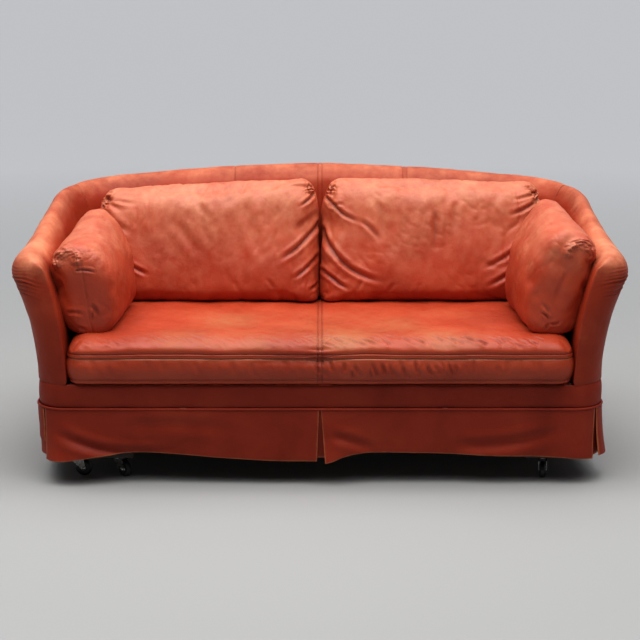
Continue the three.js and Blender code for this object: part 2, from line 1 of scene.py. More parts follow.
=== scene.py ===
# %% [markdown]
# # A worn leather sofa
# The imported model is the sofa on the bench: a beech and plywood frame, castors, and one plain solid
# for each soft part. This script dresses it. Each soft part becomes a leather surface worked out with
# numpy, and the hard parts keep their own meshes and get their real finish.
# Everything is in metres: +X is to the viewer's right, -Y is the front, +Z is up.

# %% Load the frame
import json

import bpy
import numpy as np
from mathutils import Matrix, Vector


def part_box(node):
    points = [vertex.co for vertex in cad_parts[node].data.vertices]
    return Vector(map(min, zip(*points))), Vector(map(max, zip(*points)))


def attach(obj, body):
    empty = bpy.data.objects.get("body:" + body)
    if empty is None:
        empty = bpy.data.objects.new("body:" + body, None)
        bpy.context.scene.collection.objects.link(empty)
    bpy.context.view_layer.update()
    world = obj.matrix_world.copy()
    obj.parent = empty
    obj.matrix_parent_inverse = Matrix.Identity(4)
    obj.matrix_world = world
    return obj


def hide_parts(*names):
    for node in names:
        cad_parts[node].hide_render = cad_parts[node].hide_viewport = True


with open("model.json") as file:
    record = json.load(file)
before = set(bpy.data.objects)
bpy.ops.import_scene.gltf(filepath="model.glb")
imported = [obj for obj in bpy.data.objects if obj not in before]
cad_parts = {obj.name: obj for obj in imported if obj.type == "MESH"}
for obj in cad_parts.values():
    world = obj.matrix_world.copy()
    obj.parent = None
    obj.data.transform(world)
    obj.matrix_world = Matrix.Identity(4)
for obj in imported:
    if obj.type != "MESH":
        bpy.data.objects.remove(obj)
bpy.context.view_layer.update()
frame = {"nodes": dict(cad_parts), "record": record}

# %% [markdown]
# ## The camera
# A long lens from well back and a little above keeps the sofa's sides nearly parallel, as in a
# catalogue. It comes first, so that every later step can be looked at through it.

# %% Camera
CAMERA_PLACE = (0.0, -4.82, 1.52)
CAMERA_DOWN = 13.1  # degrees below level
LENS = 87.1  # mm, on a sensor 36 mm wide

camera_data = bpy.data.cameras.new("camera")
camera_data.lens = LENS
camera_data.sensor_width = 36
camera_data.clip_end = 500
camera = bpy.data.objects.new("camera", camera_data)
camera.location = CAMERA_PLACE
camera.rotation_euler = (np.radians(90 - CAMERA_DOWN), 0, 0)
bpy.context.collection.objects.link(camera)
bpy.context.scene.camera = camera
print("camera at", CAMERA_PLACE)

# %% [markdown]
# ## Making a mesh from arrays
# A grid of points is easy to compute but says nothing about what is inside. The signed volume of the
# faces does: where it comes out negative, the faces point inwards and all of them are turned round.

# %% Mesh helpers
def add_mesh(name, points, *faces):
    """A smooth-shaded mesh from an (n, 3) array of points and arrays of quads or triangles. A closed
    surface ends up facing outwards: the volume is a sixth of the sum of each triangle's triple product."""
    triangles = [f[:, [0, k, k + 1]] for f in faces for k in range(1, f.shape[1] - 1)]
    a, b, c = points[np.concatenate(triangles)].transpose(1, 0, 2)
    inside_out = np.einsum("ij,ij->", a, np.cross(b, c)) < 0
    faces = [f[:, ::-1] if inside_out else f for f in faces]
    sizes = np.concatenate([np.full(len(f), f.shape[1]) for f in faces])
    loops = np.concatenate([f.ravel() for f in faces]).astype(np.int32)
    mesh = bpy.data.meshes.new(name)
    mesh.vertices.add(len(points))
    mesh.vertices.foreach_set("co", points.astype(np.float32).ravel())
    mesh.loops.add(len(loops))
    mesh.loops.foreach_set("vertex_index", loops)
    mesh.polygons.add(len(sizes))
    mesh.polygons.foreach_set("loop_start", (np.cumsum(sizes) - sizes).astype(np.int32))
    mesh.update(calc_edges=True)
    mesh.shade_smooth()
    piece = bpy.data.objects.new(name, mesh)
    bpy.context.collection.objects.link(piece)
    return piece


def grid_quads(ids):
    """The quads of a grid of vertex numbers."""
    return np.stack([ids[:-1, :-1], ids[1:, :-1], ids[1:, 1:], ids[:-1, 1:]], -1).reshape(-1, 4)


def points_of(piece):
    """The places of a piece's vertices, as an (n, 3) array."""
    flat = np.empty(3 * len(piece.data.vertices), np.float32)
    piece.data.vertices.foreach_get("co", flat)
    return flat.reshape(-1, 3).astype(float)


def normals_of(piece):
    """The outward direction at each of a piece's vertices, as an (n, 3) array."""
    flat = np.empty(3 * len(piece.data.vertices), np.float32)
    piece.data.vertex_normals.foreach_get("vector", flat)
    return flat.reshape(-1, 3).astype(float)


def set_points(piece, points):
    """Moves a piece's vertices to these places."""
    piece.data.vertices.foreach_set("co", points.astype(np.float32).ravel())
    piece.data.update()


def push_out(piece, amount):
    """Moves each vertex along its own outward direction by its amount, in metres."""
    set_points(piece, points_of(piece) + normals_of(piece) * amount[:, None])


def mark(piece, name, value):
    """Stores one number for each vertex, from 0 to 1, for the material to read."""
    layer = piece.data.attributes.new(name, "FLOAT", "POINT")
    layer.data.foreach_set("value", np.clip(value, 0, 1).astype(np.float32))


def smooth(x, low, high):
    """0 below low, 1 above high, and an S-shaped rise between, 3t^2 - 2t^3."""
    t = np.clip((x - low) / (high - low), 0, 1)
    return t * t * (3 - 2 * t)


def bump(x, width):
    """A bell: 1 at x = 0, falling to about a third one width away."""
    return np.exp(-((x / width) ** 2))


def waves(p, size, seed, count=7):
    """Smooth unevenness from about -1 to 1: a sum of cosines across the points p, each in its own
    direction, with a wavelength near size."""
    draw = np.random.default_rng(seed)
    way = draw.normal(size=(count, p.shape[1]))
    way /= np.linalg.norm(way, axis=1, keepdims=True)
    length = size * draw.uniform(0.6, 1.6, count)
    turn = draw.uniform(0, 2 * np.pi, count)
    return np.cos(p @ way.T * (2 * np.pi / length) + turn).sum(1) / np.sqrt(count)


def wrinkles(p, size, seed, thin=0.35):
    """Wandering valleys, from 0 to -1, in patches: they lie where a field of waves crosses zero."""
    patch = smooth(waves(p, 3 * size, seed + 1), -0.3, 0.9)
    return -bump(waves(p, size, seed), thin) * patch


# %% [markdown]
# ## A crease
# Where leather folds, it drops into a narrow valley and stands up a little on both sides. So a crease
# is a curve with a cross-section: a valley in the middle and a low shoulder at twice its width. It
# fades in and out along its length. The same function gives the painted shade in the valley: strong
# in a tight, deep crease and hardly any in a wide, shallow one.

# %% Creases
CURVE_POINTS = 20
REACH = 4.5  # widths from its line, beyond which a crease gives nothing
RISEN, FADING = 0.25, 0.55  # shares of the line where it has reached its depth, and starts to fade


def crease(q, start, end, bend=0.0, width=0.006, depth=0.004, sharp_start=False):
    """The push and the shade that one crease gives to points q, an (n, 2) array. Its line is a
    quadratic curve from start to end, bent sideways by bend. The push is minus a bell, plus a lower
    bell on each side."""
    start, end = np.array(start, float), np.array(end, float)
    along = end - start
    middle = (start + end) / 2 + bend * np.array([-along[1], along[0]])
    s = np.linspace(0, 1, CURVE_POINTS)[:, None]
    line = (1 - s) ** 2 * start + 2 * s * (1 - s) * middle + s**2 * end
    push, shade = np.zeros(len(q)), np.zeros(len(q))
    reach = REACH * width
    near = ((q > line.min(0) - reach) & (q < line.max(0) + reach)).all(1)
    if not near.any():
        return push, shade
    step = line[1:] - line[:-1]
    off = q[near][:, None] - line[:-1]
    part = np.clip((off * step).sum(-1) / (step**2).sum(-1), 0, 1)
    gap = np.linalg.norm(off - part[..., None] * step, axis=-1)
    nearest = gap.argmin(1)
    rows = np.arange(len(gap))
    d, at = gap[rows, nearest], (nearest + part[rows, nearest]) / (len(line) - 1)
    rise = 1.0 if sharp_start else smooth(at, 0, RISEN)
    fade = rise * (1 - smooth(at, FADING, 1))
    push[near] = depth * fade * (0.5 * bump(d - 2 * width, width) - bump(d, width))
    shade[near] = fade * bump(d, 0.6 * width) * min(1, (depth / width) ** 2)
    return push, shade


def creases(q, lines):
    """All of a piece's creases together, each given as the arguments of crease()."""
    if not lines:
        return np.zeros(len(q)), np.zeros(len(q))
    made = [crease(q, *line) for line in lines]
    return sum(m[0] for m in made), np.max([m[1] for m in made], axis=0)


# %% [markdown]
# ## Leather
# The whole sofa is aniline-dyed cowhide: dye soaked into the skin with hardly any pigment on top, so
# the hide shows through and marks easily. Wear rubs the colour off where people sit and lean, to a pale
# tan, and the same pale colour is put over the tops as a painted sheen. The creases, the lower faces
# and the band under the seat are painted darker as painted shade. Its IOR is about 1.5 and an old one
# is about half rough. Pores are 0.2 mm apart on the real hide, too fine to see from here, so the grain
# is drawn at 2.5 mm. A second, wider pattern gives the crackle of a skin that has been sat on for years.

# %% Material helpers
def linear(hex_colour):
    """An sRGB hex colour as the linear RGBA that shaders use."""
    s = np.array([int(hex_colour[i : i + 2], 16) for i in (1, 3, 5)]) / 255
    return (*np.where(s <= 0.04045, s / 12.92, ((s + 0.055) / 1.055) ** 2.4), 1.0)


def add_node(tree, kind, inputs=None, **settings):
    """Adds a node, sets its settings, and gives each named input a value or the output it follows."""
    made = tree.nodes.new(kind)
    for key, value in settings.items():
        setattr(made, key, value)
    for key, value in (inputs or {}).items():
        if isinstance(value, bpy.types.NodeSocket):
            tree.links.new(value, made.inputs[key])
        else:
            made.inputs[key].default_value = value
    return made


def new_material(name, **shader):
    """A material with a Principled shader: the material, its tree, the shader, and the place of each
    point in its piece's own space. shader gives plain values, with spaces written as _."""
    made = bpy.data.materials.new(name)
    made.use_nodes = True
    principled = made.node_tree.nodes["Principled BSDF"]
    for key, value in shader.items():
        principled.inputs[key.replace("_", " ")].default_value = value
    place = add_node(made.node_tree, "ShaderNodeTexCoord").outputs["Object"]
    return made, made.node_tree, principled, place


def feed(tree, shader, **outputs):
    """Connects outputs to the shader's inputs, with spaces written as _."""
    for key, output in outputs.items():
        tree.links.new(output, shader.inputs[key.replace("_", " ")])


def noise(tree, place, scale, detail=2.0, **more):
    """The outputs of fractal noise, with about scale lumps to the metre."""
    inputs = {"Vector": place, "Scale": scale, "Detail": detail, **more}
    return add_node(tree, "ShaderNodeTexNoise", inputs).outputs


def blend(tree, share, first, second):
    """The colour that lies a share of the way from first to second."""
    inputs = {0: share, 6: first, 7: second}
    return add_node(tree, "ShaderNodeMix", inputs, data_type="RGBA").outputs[2]


def remap(tree, value, low, high, new_low=0.0, new_high=1.0):
    """The range from low to high carried over to a new one, and held at its ends beyond."""
    inputs = {"Value": value, 1: low, 2: high, 3: new_low, 4: new_high}
    return add_node(tree, "ShaderNodeMapRange", inputs).outputs[0]


def maths(tree, operation, *values, use_clamp=False):
    """One operation on values or outputs."""
    inputs = dict(enumerate(values))
    return add_node(tree, "ShaderNodeMath", inputs, operation=operation, use_clamp=use_clamp).outputs[0]


def relief(tree, height, strength, distance, **more):
    """The normal of a surface bumped by height, up to distance in metres."""
    inputs = {"Height": height, "Strength": strength, "Distance": distance, **more}
    return add_node(tree, "ShaderNodeBump", inputs).outputs[0]


def dress(piece, material):
    """Gives a piece its material."""
    piece.data.materials.clear()
    piece.data.materials.append(material)


# %% Leather
# Painted shade: the deep red mixed into creases and shaded faces, and the dark of the seam lines.
PAINTED_SHADE = "#66190c"
GRAIN, CRACKLE = 0.0025, 0.013  # size of the grain and of the crackle's cells
WANDER = 0.02  # how far the cracks' lines are bent


def leather(name, colour, deep, pale, worn_and_sheen, shine=0.5, roughness=(0.42, 0.56)):
    """Cowhide whose colour drifts between deep, colour and pale over a hand's width. It turns pale tan
    where a vertex attribute says so: abraded leather where people sit and lean, and a painted sheen on
    the tops. It darkens to a deep red where 'crease' marks: painted shade in creases and on shaded faces,
    and dark seam lines. shine is the strength of its highlights: half is what the IOR gives, and dry,
    dusty leather has less."""
    made, tree, shader, place = new_material(name, IOR=1.5, Specular_IOR_Level=shine)
    patches = noise(tree, place, 5.0, 4.0, Distortion=0.5)
    cloud = noise(tree, place, 32.0, 5.0, Roughness=0.6)
    tone = add_node(tree, "ShaderNodeValToRGB", {"Fac": patches["Fac"]})
    ramp = tone.color_ramp
    ramp.elements[0].position, ramp.elements[0].color = 0.28, linear(deep)
    ramp.elements[1].position, ramp.elements[1].color = 0.74, linear(pale)
    ramp.elements.new(0.52).color = linear(colour)
    # Pale tan for abraded leather, and for the painted sheen on the tops.
    wear_and_sheen = add_node(tree, "ShaderNodeAttribute", attribute_name="wear_and_sheen").outputs["Fac"]
    uneven = maths(tree, "SUBTRACT", cloud["Fac"], 0.5)
    spread = maths(tree, "MULTIPLY_ADD", uneven, 1.6, wear_and_sheen)
    rubbed_and_sheen = maths(tree, "MULTIPLY", spread, wear_and_sheen, use_clamp=True)
    with_wear_and_sheen = blend(tree, rubbed_and_sheen, tone.outputs["Color"], linear(worn_and_sheen))
    # Painted shade: where the 'crease' attribute is high the colour goes to the deep red.
    valley = add_node(tree, "ShaderNodeAttribute", attribute_name="crease").outputs["Fac"]
    shade_share = maths(tree, "MULTIPLY", valley, 0.7, use_clamp=True)
    all_colour = blend(tree, shade_share, with_wear_and_sheen, linear(PAINTED_SHADE))
    gloss = remap(tree, cloud["Fac"], 0.3, 0.7, *roughness)
    bent = add_node(tree, "ShaderNodeVectorMath", {0: cloud["Color"], 3: WANDER}, operation="SCALE")
    moved = add_node(tree, "ShaderNodeVectorMath", {0: place, 1: bent.outputs[0]}, operation="ADD")
    cells = {"Vector": moved.outputs[0], "Scale": 1 / CRACKLE}
    cracks = add_node(tree, "ShaderNodeTexVoronoi", cells, feature="DISTANCE_TO_EDGE")
    line = remap(tree, cracks.outputs["Distance"], 0.0, 0.12)
    pores = noise(tree, place, 1 / GRAIN)
    coarse = relief(tree, line, 0.22, 0.0008)
    fine = relief(tree, pores["Fac"], 0.25, 0.0006, Normal=coarse)
    feed(tree, shader, Base_Color=all_colour, Roughness=gloss, Normal=fine)
    return made


COVER_LEATHER = leather("cover_leather", "#a23a20", "#93301a", "#b04629", "#d88c69", 0.22)
CUSHION_LEATHER = leather("cushion_leather", "#b94728", "#a53a1f", "#c45635", "#d98e6a")
SEAT_LEATHER = leather("seat_leather", "#b34526", "#a2391c", "#bf5332", "#b26c46", 0.42)
# The skirt and the band get a deeper copy of the leather: partly leather less faded than the tops, partly
# painted shade on these low, upright faces.
SHADED_SKIRT_LEATHER = leather(
    "skirt_leather", "#92301b", "#832915", "#9c3a22", "#c97650", 0.22, roughness=(0.5, 0.62)
)
print("leathers:", COVER_LEATHER.name, CUSHION_LEATHER.name, SEAT_LEATHER.name, SHADED_SKIRT_LEATHER.name)

# %% [markdown]
# ## The curved wall: arms and back
# The back and the arms are one padded tub. Its inner foot follows a line in plan: straight along the
# back, a quarter circle in each corner, straight along the arm. Its section is one curve from the inner
# foot over the rolled top to the outer foot. So the surface is a function of two parameters: how far
# along the foot line, and how far round the section. Modelling it that way keeps the flow of the tub
# exact, where box modelling and subdivision would round it off by eye.

# %% Sizes of the tub
SEAT_HALF = 0.748  # middle of the sofa to the inner face of an arm
CORNER_R = 0.140  # inner radius where an arm turns into the back
ARM_WALL, BACK_WALL = 0.090, 0.130  # thickness at the foot
WALL_FRONT = -0.340  # where the front of an arm starts to round over
BACK_STRAIGHT = SEAT_HALF - CORNER_R
REAR_Y = 0.280 - CORNER_R
ARM_START = BACK_STRAIGHT + CORNER_R * np.pi / 2
ARM_END = ARM_START + REAR_Y - WALL_FRONT
SHOULDER = 0.750  # along the foot line, the seam between an arm's cover and the back's
FOOT_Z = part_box("back_padding")[0].z
DECK_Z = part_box("deck_pad")[1].z
LEAN = 0.060  # how far the inner face leans out
FLARE, FRONT_FLARE = 0.031, 0.066  # how far the top overhangs the outer foot, and at the arm's front
RIDGE = np.array([
    [0, 849], [300, 838], [608, 813], [750, 795], [828, 782],
    [990, 750], [1090, 722], [1200, 697], [1308, 686],
]) / 1000  # height of the top along the foot line
print(f"tub foot at {FOOT_Z:.3f} m, {2 * ARM_END:.2f} m round")


# %% The tub's surface
def spline(points, t):
    """A Catmull-Rom curve through the points, at shares t of the way, each span taking an equal share."""
    points = np.asarray(points, float)
    last = len(points) - 1
    at = np.clip(np.asarray(t) * last, 0, last - 1e-9)
    i = at.astype(int)
    f = (at - i).reshape(-1, *[1] * (points.ndim - 1))
    before, here, after, beyond = (points[np.clip(i + k, 0, last)] for k in (-1, 0, 1, 2))
    a, b = (after - before) / 2, (beyond - here) / 2
    return (2 * here - 2 * after + a + b) * f**3 + (3 * after - 3 * here - 2 * a - b) * f**2 + a * f + here


def foot_line(distance):
    """Points in plan and outward directions along the inner foot: straight, quarter circle, straight."""
    d, side = np.abs(distance), np.where(distance < 0, -1.0, 1.0)
    angle = np.clip((d - BACK_STRAIGHT) / CORNER_R, 0, np.pi / 2)
    out = np.stack([side * np.sin(angle), np.cos(angle)], -1)
    x = side * (np.minimum(d, BACK_STRAIGHT) + CORNER_R * np.sin(angle))
    y = REAR_Y + CORNER_R * np.cos(angle) - np.maximum(0, d - ARM_START)
    return np.stack([x, y], -1), out


RIDGE_LINE = spline(RIDGE, np.linspace(0, 1, 400))


def ridge(distance):
    """Height of the wall's top."""
    return np.interp(np.abs(distance), RIDGE_LINE[:, 0], RIDGE_LINE[:, 1])


def foot_width(distance):
    """Thickness of the wall at its foot: the back's, easing to the arm's round the corner."""
    return BACK_WALL + (ARM_WALL - BACK_WALL) * smooth(np.abs(distance), BACK_STRAIGHT, ARM_START)


def section(distance, t):
    """The wall's section at each distance and each share t round it: [distance out, height]. It rises
    from the inner foot with a lean, rolls over the top and falls to the outer foot under an overhang."""
    foot, top = foot_width(distance), ridge(distance)
    flare = FLARE + (FRONT_FLARE - FLARE) * smooth(np.abs(distance), ARM_START + 0.06, ARM_END)
    roll = foot + flare - LEAN
    zero = 0 * foot
    points = [
        (zero, FOOT_Z + zero),
        (LEAN * 0.14 + zero, FOOT_Z + 0.4 * (top - FOOT_Z)),
        (LEAN * 0.7 + zero, top - 0.092),
        (LEAN + 0.08 * roll, top - 0.026),
        (LEAN + 0.46 * roll, top),
        (LEAN + 0.86 * roll, top - 0.018),
        (foot + flare, top - 0.058),
        (foot + flare * 0.7, top - 0.112),
        (foot + flare * 0.28, top - 0.210),
        (foot + flare * 0.05, FOOT_Z + 0.09 + zero),
        (foot, FOOT_Z + zero),
    ]
    curve = spline(np.array([np.stack(p, -1) for p in points]), t)
    return curve.transpose(1, 0, 2)


def shares(faces, rolls):
    """Shares round the section, closest together round the roll, as many inside the top as outside."""
    parts = [(0, 0.2, faces), (0.2, 0.4, rolls), (0.4, 0.7, rolls), (0.7, 1.0, faces)]
    stretches = [np.linspace(low, high, count, endpoint=False) for low, high, count in parts]
    return np.concatenate(stretches + [[1.0]])


FACE_COLUMNS = 10  # across a seam end, an arm's front face and the bottom
NOSE_TURNS = np.linspace(0, 1.50, 24)[1:]  # radians that an arm's front has rounded over
INNER_ROUND = 0.030  # how far the inner edge of an arm's front is rounded
INNER_SHARE = 0.32  # and at most this share of the wall's width
FACE_BULGE = 0.0205  # how far an arm's front face swells, as a share of its width
NOSE_DIP = 0.040  # how far the top of an arm's front comes down as it rounds over


def wall_rings(distance, turn, share_list):
    """Rings of the wall at these distances. turn rounds an arm's front over: a ring moves forward by
    the sine and narrows with the cosine, less at the top than at the foot, and dips a little. The
    inner side turns over a smaller circle, just before the front."""
    plan, out = foot_line(distance)
    line = section(distance, share_list)
    height = (line[..., 1] - FOOT_Z) / (ridge(distance) - FOOT_Z)[:, None]
    closing = 1 - np.cos(turn)[:, None]
    w = line[..., 0] * (1 - closing * (1 - 0.5 * height))
    late = np.clip(np.sin(turn) * ARM_WALL / INNER_ROUND - ARM_WALL / INNER_ROUND + 1, 0, 1)[:, None]
    across = np.maximum(w[:, ::-1] - w, 0)
    inner = np.minimum(INNER_ROUND, INNER_SHARE * across)
    w = w + inner * (1 - np.sqrt(1 - late**2)) * smooth(height, 0.05, 0.5)
    z = line[..., 1] - NOSE_DIP * height * closing
    x = plan[:, :1] + out[:, :1] * w
    y = plan[:, 1:] + out[:, 1:] * w - ARM_WALL * np.sin(turn)[:, None]
    rings = np.stack([x, y, z], -1)
    share = np.linspace(1, 0, FACE_COLUMNS + 1)[1:-1, None]
    bottom = rings[:, None, 0] * (1 - share) + rings[:, None, -1] * share
    return np.concatenate([rings, bottom], 1)


def closed_wall(name, distance, turn, face_bulge, share_list):
    """A closed skin over the rings. Each end is a ladder: rungs join the inner side to the outer side at
    the same place in the section, and meet at the top. face_bulge pushes the last end's rungs
    forward, as a share of their length."""
    rings = wall_rings(distance, turn, share_list)
    count, around = rings.shape[:2]
    n = len(share_list)
    top = (n - 1) // 2
    ids = np.arange(count * around).reshape(count, around)
    wrapped = np.concatenate([ids, ids[:, :1]], 1)
    quads = [grid_quads(wrapped)]
    triangles, points = [], [rings.reshape(-1, 3)]
    places = np.broadcast_arrays(distance[:, None], turn[:, None], np.zeros(around))
    params = [np.stack(places, -1).reshape(-1, 3)]
    used = count * around
    share = np.linspace(0, 1, FACE_COLUMNS + 1)[None, 1:-1, None]
    for end in (0, count - 1):
        inner, outer = rings[end, :top], rings[end, n - 1 : top : -1]
        rungs = inner[1:, None] * (1 - share) + outer[1:, None] * share
        length = np.linalg.norm(outer - inner, axis=-1)[1:, None, None]
        bulge = face_bulge * (end > 0) * (4 * share * (1 - share)) * length
        rungs = rungs + np.array([0, -1, 0]) * bulge
        new = used + np.arange(rungs.shape[0] * rungs.shape[1]).reshape(rungs.shape[:2])
        used += new.size
        ladder = np.empty((top, FACE_COLUMNS + 1), int)
        ladder[:, 0], ladder[:, -1] = ids[end, :top], ids[end, n - 1 : top : -1]
        ladder[0, 1:-1] = ids[end, : n - 1 : -1]
        ladder[1:, 1:-1] = new
        face = grid_quads(ladder)
        apex = np.full(FACE_COLUMNS, ids[end, top])
        tip = np.stack([ladder[-1, 1:], ladder[-1, :-1], apex], -1)
        turned_round = end > 0  # neighbouring faces must run opposite ways along the edge they share
        quads.append(face[:, ::-1] if turned_round else face)
        triangles.append(tip[:, ::-1] if turned_round else tip)
        points.append(rungs.reshape(-1, 3))
        params.append(np.broadcast_to([distance[end], turn[end], 1.0], (new.size, 3)))
    piece = add_mesh(name, np.concatenate(points), np.concatenate(quads), np.concatenate(triangles))
    return piece, np.concatenate(params)


SEAM_OFFSETS = np.array([-9, -6, -4.5, -3, -1.5, 0, 1.5, 3, 4.5, 6, 9]) / 1000  # lines beside a seam
LEAST_APART = 0.0018  # nearer than this to a fine line, an even one is left out


def spaced(low, high, step, fine_at=()):
    """Numbers from low to high about a step apart, and closer round each place in fine_at."""
    even = np.linspace(low, high, int(round((high - low) / step)) + 1)
    close = np.concatenate([at + SEAM_OFFSETS for at in fine_at] or [[]])
    close = close[(close > low) & (close < high)]
    apart = np.abs(even[:, None] - close[None]).min(1, initial=1) > LEAST_APART
    apart[[0, -1]] = True
    return np.sort(np.concatenate([even[apart], close]))


# %% [markdown]
# ## Dressing the tub
# The leather is pulled tight over felt and wadding, so it stands a few millimetres proud and is
# slightly uneven. The covers meet at a curved seam on each shoulder, and plain seams cross the top
# roll. At the front of each arm the leather is eased round the outer corner in small gathers.

# %% Arms and back
SIDES = (("left", -1), ("right", 1))
TOP_SEAMS = (-0.285, -0.007, 0.007, 0.279, 0.291)  # along the foot line: seams from foot to foot
SEAM_SPLIT = 0.0004  # each cover stops this far short of the shoulder's seam
WALL_STEP = 0.009
WADDING = 0.0032  # how far the leather stands off the plain wall
TUCK = 0.006  # how far it is drawn in behind the band round the base
GATHER_PITCH, GATHER_DEPTH = 0.0090, 0.0028  # from one gather to the next, and how deep
GATHER_EDGE, GATHER_Z = 0.902, 0.598  # the front's outer edge, from the middle, and their height


def dress_wall(piece, params):
    """Pushes the leather out over its wadding, pulls it in at the seams and gathers the arm's front."""
    p = points_of(piece)
    d = np.abs(params[:, 0])
    height = (p[:, 2] - FOOT_Z) / (ridge(params[:, 0]) - FOOT_Z)
    out = WADDING + 0.0012 * waves(p, 0.22, 4) + 0.0005 * waves(p, 0.07, 5)
    inside = smooth(0.9 - height, 0, 0.3)
    out += 0.0010 * inside * wrinkles(p * [1, 1, 0.6], 0.09, 6)
    seam = bump(d - SHOULDER, 0.0024)
    out -= 0.0010 * seam + 0.0010 * bump(d - SHOULDER, 0.016)
    shade = 0.10 * seam
    for at in TOP_SEAMS:
        groove = bump(params[:, 0] - at, 0.0020)
        out -= 0.0018 * groove + 0.0008 * bump(params[:, 0] - at, 0.012)
        shade = np.maximum(shade, 0.45 * groove)
    gathers, dark = arm_gathers(p)
    tucked = 1 - smooth(p[:, 2], DECK_Z - 0.002, DECK_Z + 0.005)
    push_out(piece, out + gathers - TUCK * tucked)
    # Painted shade: the lower part of each arm is painted darker, and goes to the 'crease' mark with the
    # gathers' dark valleys and the dark seam lines.
    arm = smooth(d, SHOULDER, ARM_END)
    darker = 0.40 * (1 - smooth(height, 0.1, 0.8)) * arm
    mark(piece, "crease", shade + dark + darker)
    # The top of the roll and the top of each arm are painted paler: abraded leather and a painted sheen.
    top = (0.60 - 0.15 * arm) * smooth(height, 0.86, 1.0)
    rubbed_and_sheen = 0.45 * smooth(height, 0.70, 0.97) * arm
    mark(piece, "wear_and_sheen", top + rubbed_and_sheen + 0.1 * waves(p, 0.15, 7))


def arm_gathers(p):
    """Small pleats round the outer top corner of an arm's front. They run inwards from the outer edge,
    spread like a fan, and die out within a hand's width."""
    inward = np.abs(GATHER_EDGE - np.abs(p[:, 0]))
    behind = np.maximum(0, p[:, 1] - WALL_FRONT + 0.045)
    spread = (p[:, 2] - GATHER_Z) * (1 - 3.5 * inward) + 0.15 * inward
    fan = spread + 0.0030 * waves(p * [0.6, 0.6, 1], 0.05, 11)
    uneven = np.clip(0.85 + 0.35 * waves(fan[:, None], 0.022, 12), 0.2, 1.3)
    strength = uneven * bump(inward, 0.060) * np.exp(-behind / 0.030) * bump(p[:, 2] - GATHER_Z, 0.038)
    phase = 2 * np.pi * fan / GATHER_PITCH
    push = GATHER_DEPTH * strength * (np.cos(phase) + 0.3 * np.cos(2 * phase + 1))
    # The second value is painted shade, in the pleats' valleys.
    return push, 1.6 * strength * smooth(-np.cos(phase), 0.3, 1)


for side_name, side in SIDES:
    start = SHOULDER + SEAM_SPLIT
    near_seam = start + np.array([0.0015, 0.003, 0.0045])
    straight = np.sort(np.concatenate([near_seam, spaced(start, ARM_END, WALL_STEP)]))
    along = side * np.concatenate([straight, np.full(len(NOSE_TURNS), ARM_END)])
    turning = np.concatenate([np.zeros(len(straight)), NOSE_TURNS])
    arm, params = closed_wall(f"arm_leather_{side_name}", along, turning, FACE_BULGE, shares(30, 110))
    dress_wall(arm, params)
    dress(arm, COVER_LEATHER)
    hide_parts(f"arm_cover_{side_name}", f"arm_padding_{side_name}")
    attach(arm, "sofa")
    print(arm.name, len(arm.data.vertices), "vertices")

back_end = SHOULDER - SEAM_SPLIT
straight = spaced(-back_end, back_end, WALL_STEP, (-SHOULDER, *TOP_SEAMS, SHOULDER))
back, params = closed_wall("back_leather", straight, 0 * straight, 0.0, shares(22, 46))
dress_wall(back, params)
dress(back, COVER_LEATHER)
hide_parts("back_cover", "back_padding")
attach(back, "sofa")
print(back.name, len(back.data.vertices), "vertices")

# %% [markdown]
# ## The band round the base
# Below the seat a strip of leather is pulled over a roll of padding all round the base. It bulges
# between the seam under the arms and the one at the head of the skirt. It is one closed ring: a small
# section carried round the base's outline.

# %% The base outline
FRONT_ARC = ARM_WALL * np.pi / 2
SIDE_START = SEAT_HALF + FRONT_ARC
SIDE_END = SIDE_START + ARM_END - ARM_START
REAR_ARC = ARM_START - BACK_STRAIGHT
HALF_ROUND = SIDE_END + ARM_START
SKIRT_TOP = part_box("skirt_back")[1].z
SKIRT_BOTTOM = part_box("skirt_back")[0].z


def base_line(distance):
    """Points in plan and outward directions round the base, from the middle of the front: straight, a
    quarter circle, then the wall's outer foot to the middle of the back. Negative goes the other way."""
    far = np.where(distance > HALF_ROUND, distance - 2 * HALF_ROUND, distance)
    side, d = np.where(far < 0, -1.0, 1.0), np.abs(far)
    angle = np.clip((d - SEAT_HALF) / ARM_WALL, 0, np.pi / 2)
    out = np.stack([np.sin(angle), -np.cos(angle)], -1)
    plan = np.stack([np.minimum(d, SEAT_HALF), np.full_like(d, WALL_FRONT)], -1) + ARM_WALL * out
    along = ARM_START - (d - SIDE_END)
    inner, back_out = foot_line(np.minimum(along, ARM_END))
    behind = (d > SIDE_START)[:, None]
    plan = np.where(behind, inner + back_out * foot_width(along)[:, None], plan)
    out = np.where(behind, back_out, out)
    mirror = np.stack([side, np.ones_like(side)], -1)
    return plan * mirror, out * mirror


def off_base(distance, w, z):
    """Points stood off the base's outline by w, at height z. w and z may be grids."""
    plan, out = base_line(distance)
    w, z = np.broadcast_arrays(w, z)
    if w.ndim == 1:
        w, z = np.broadcast_to(w, (len(distance), len(w))), np.broadcast_to(z, (len(distance), len(z)))
    xy = plan[:, None] + out[:, None] * w[..., None]
    return np.concatenate([xy, z[..., None]], -1)


def ring_mesh(name, points):
    """A closed ring: a grid of points that joins up both ways."""
    ids = np.arange(points.shape[0] * points.shape[1]).reshape(points.shape[:2])
    ids = np.concatenate([ids, ids[:1]], 0)
    ids = np.concatenate([ids, ids[:, :1]], 1)
    return add_mesh(name, points.reshape(-1, 3), grid_quads(ids))


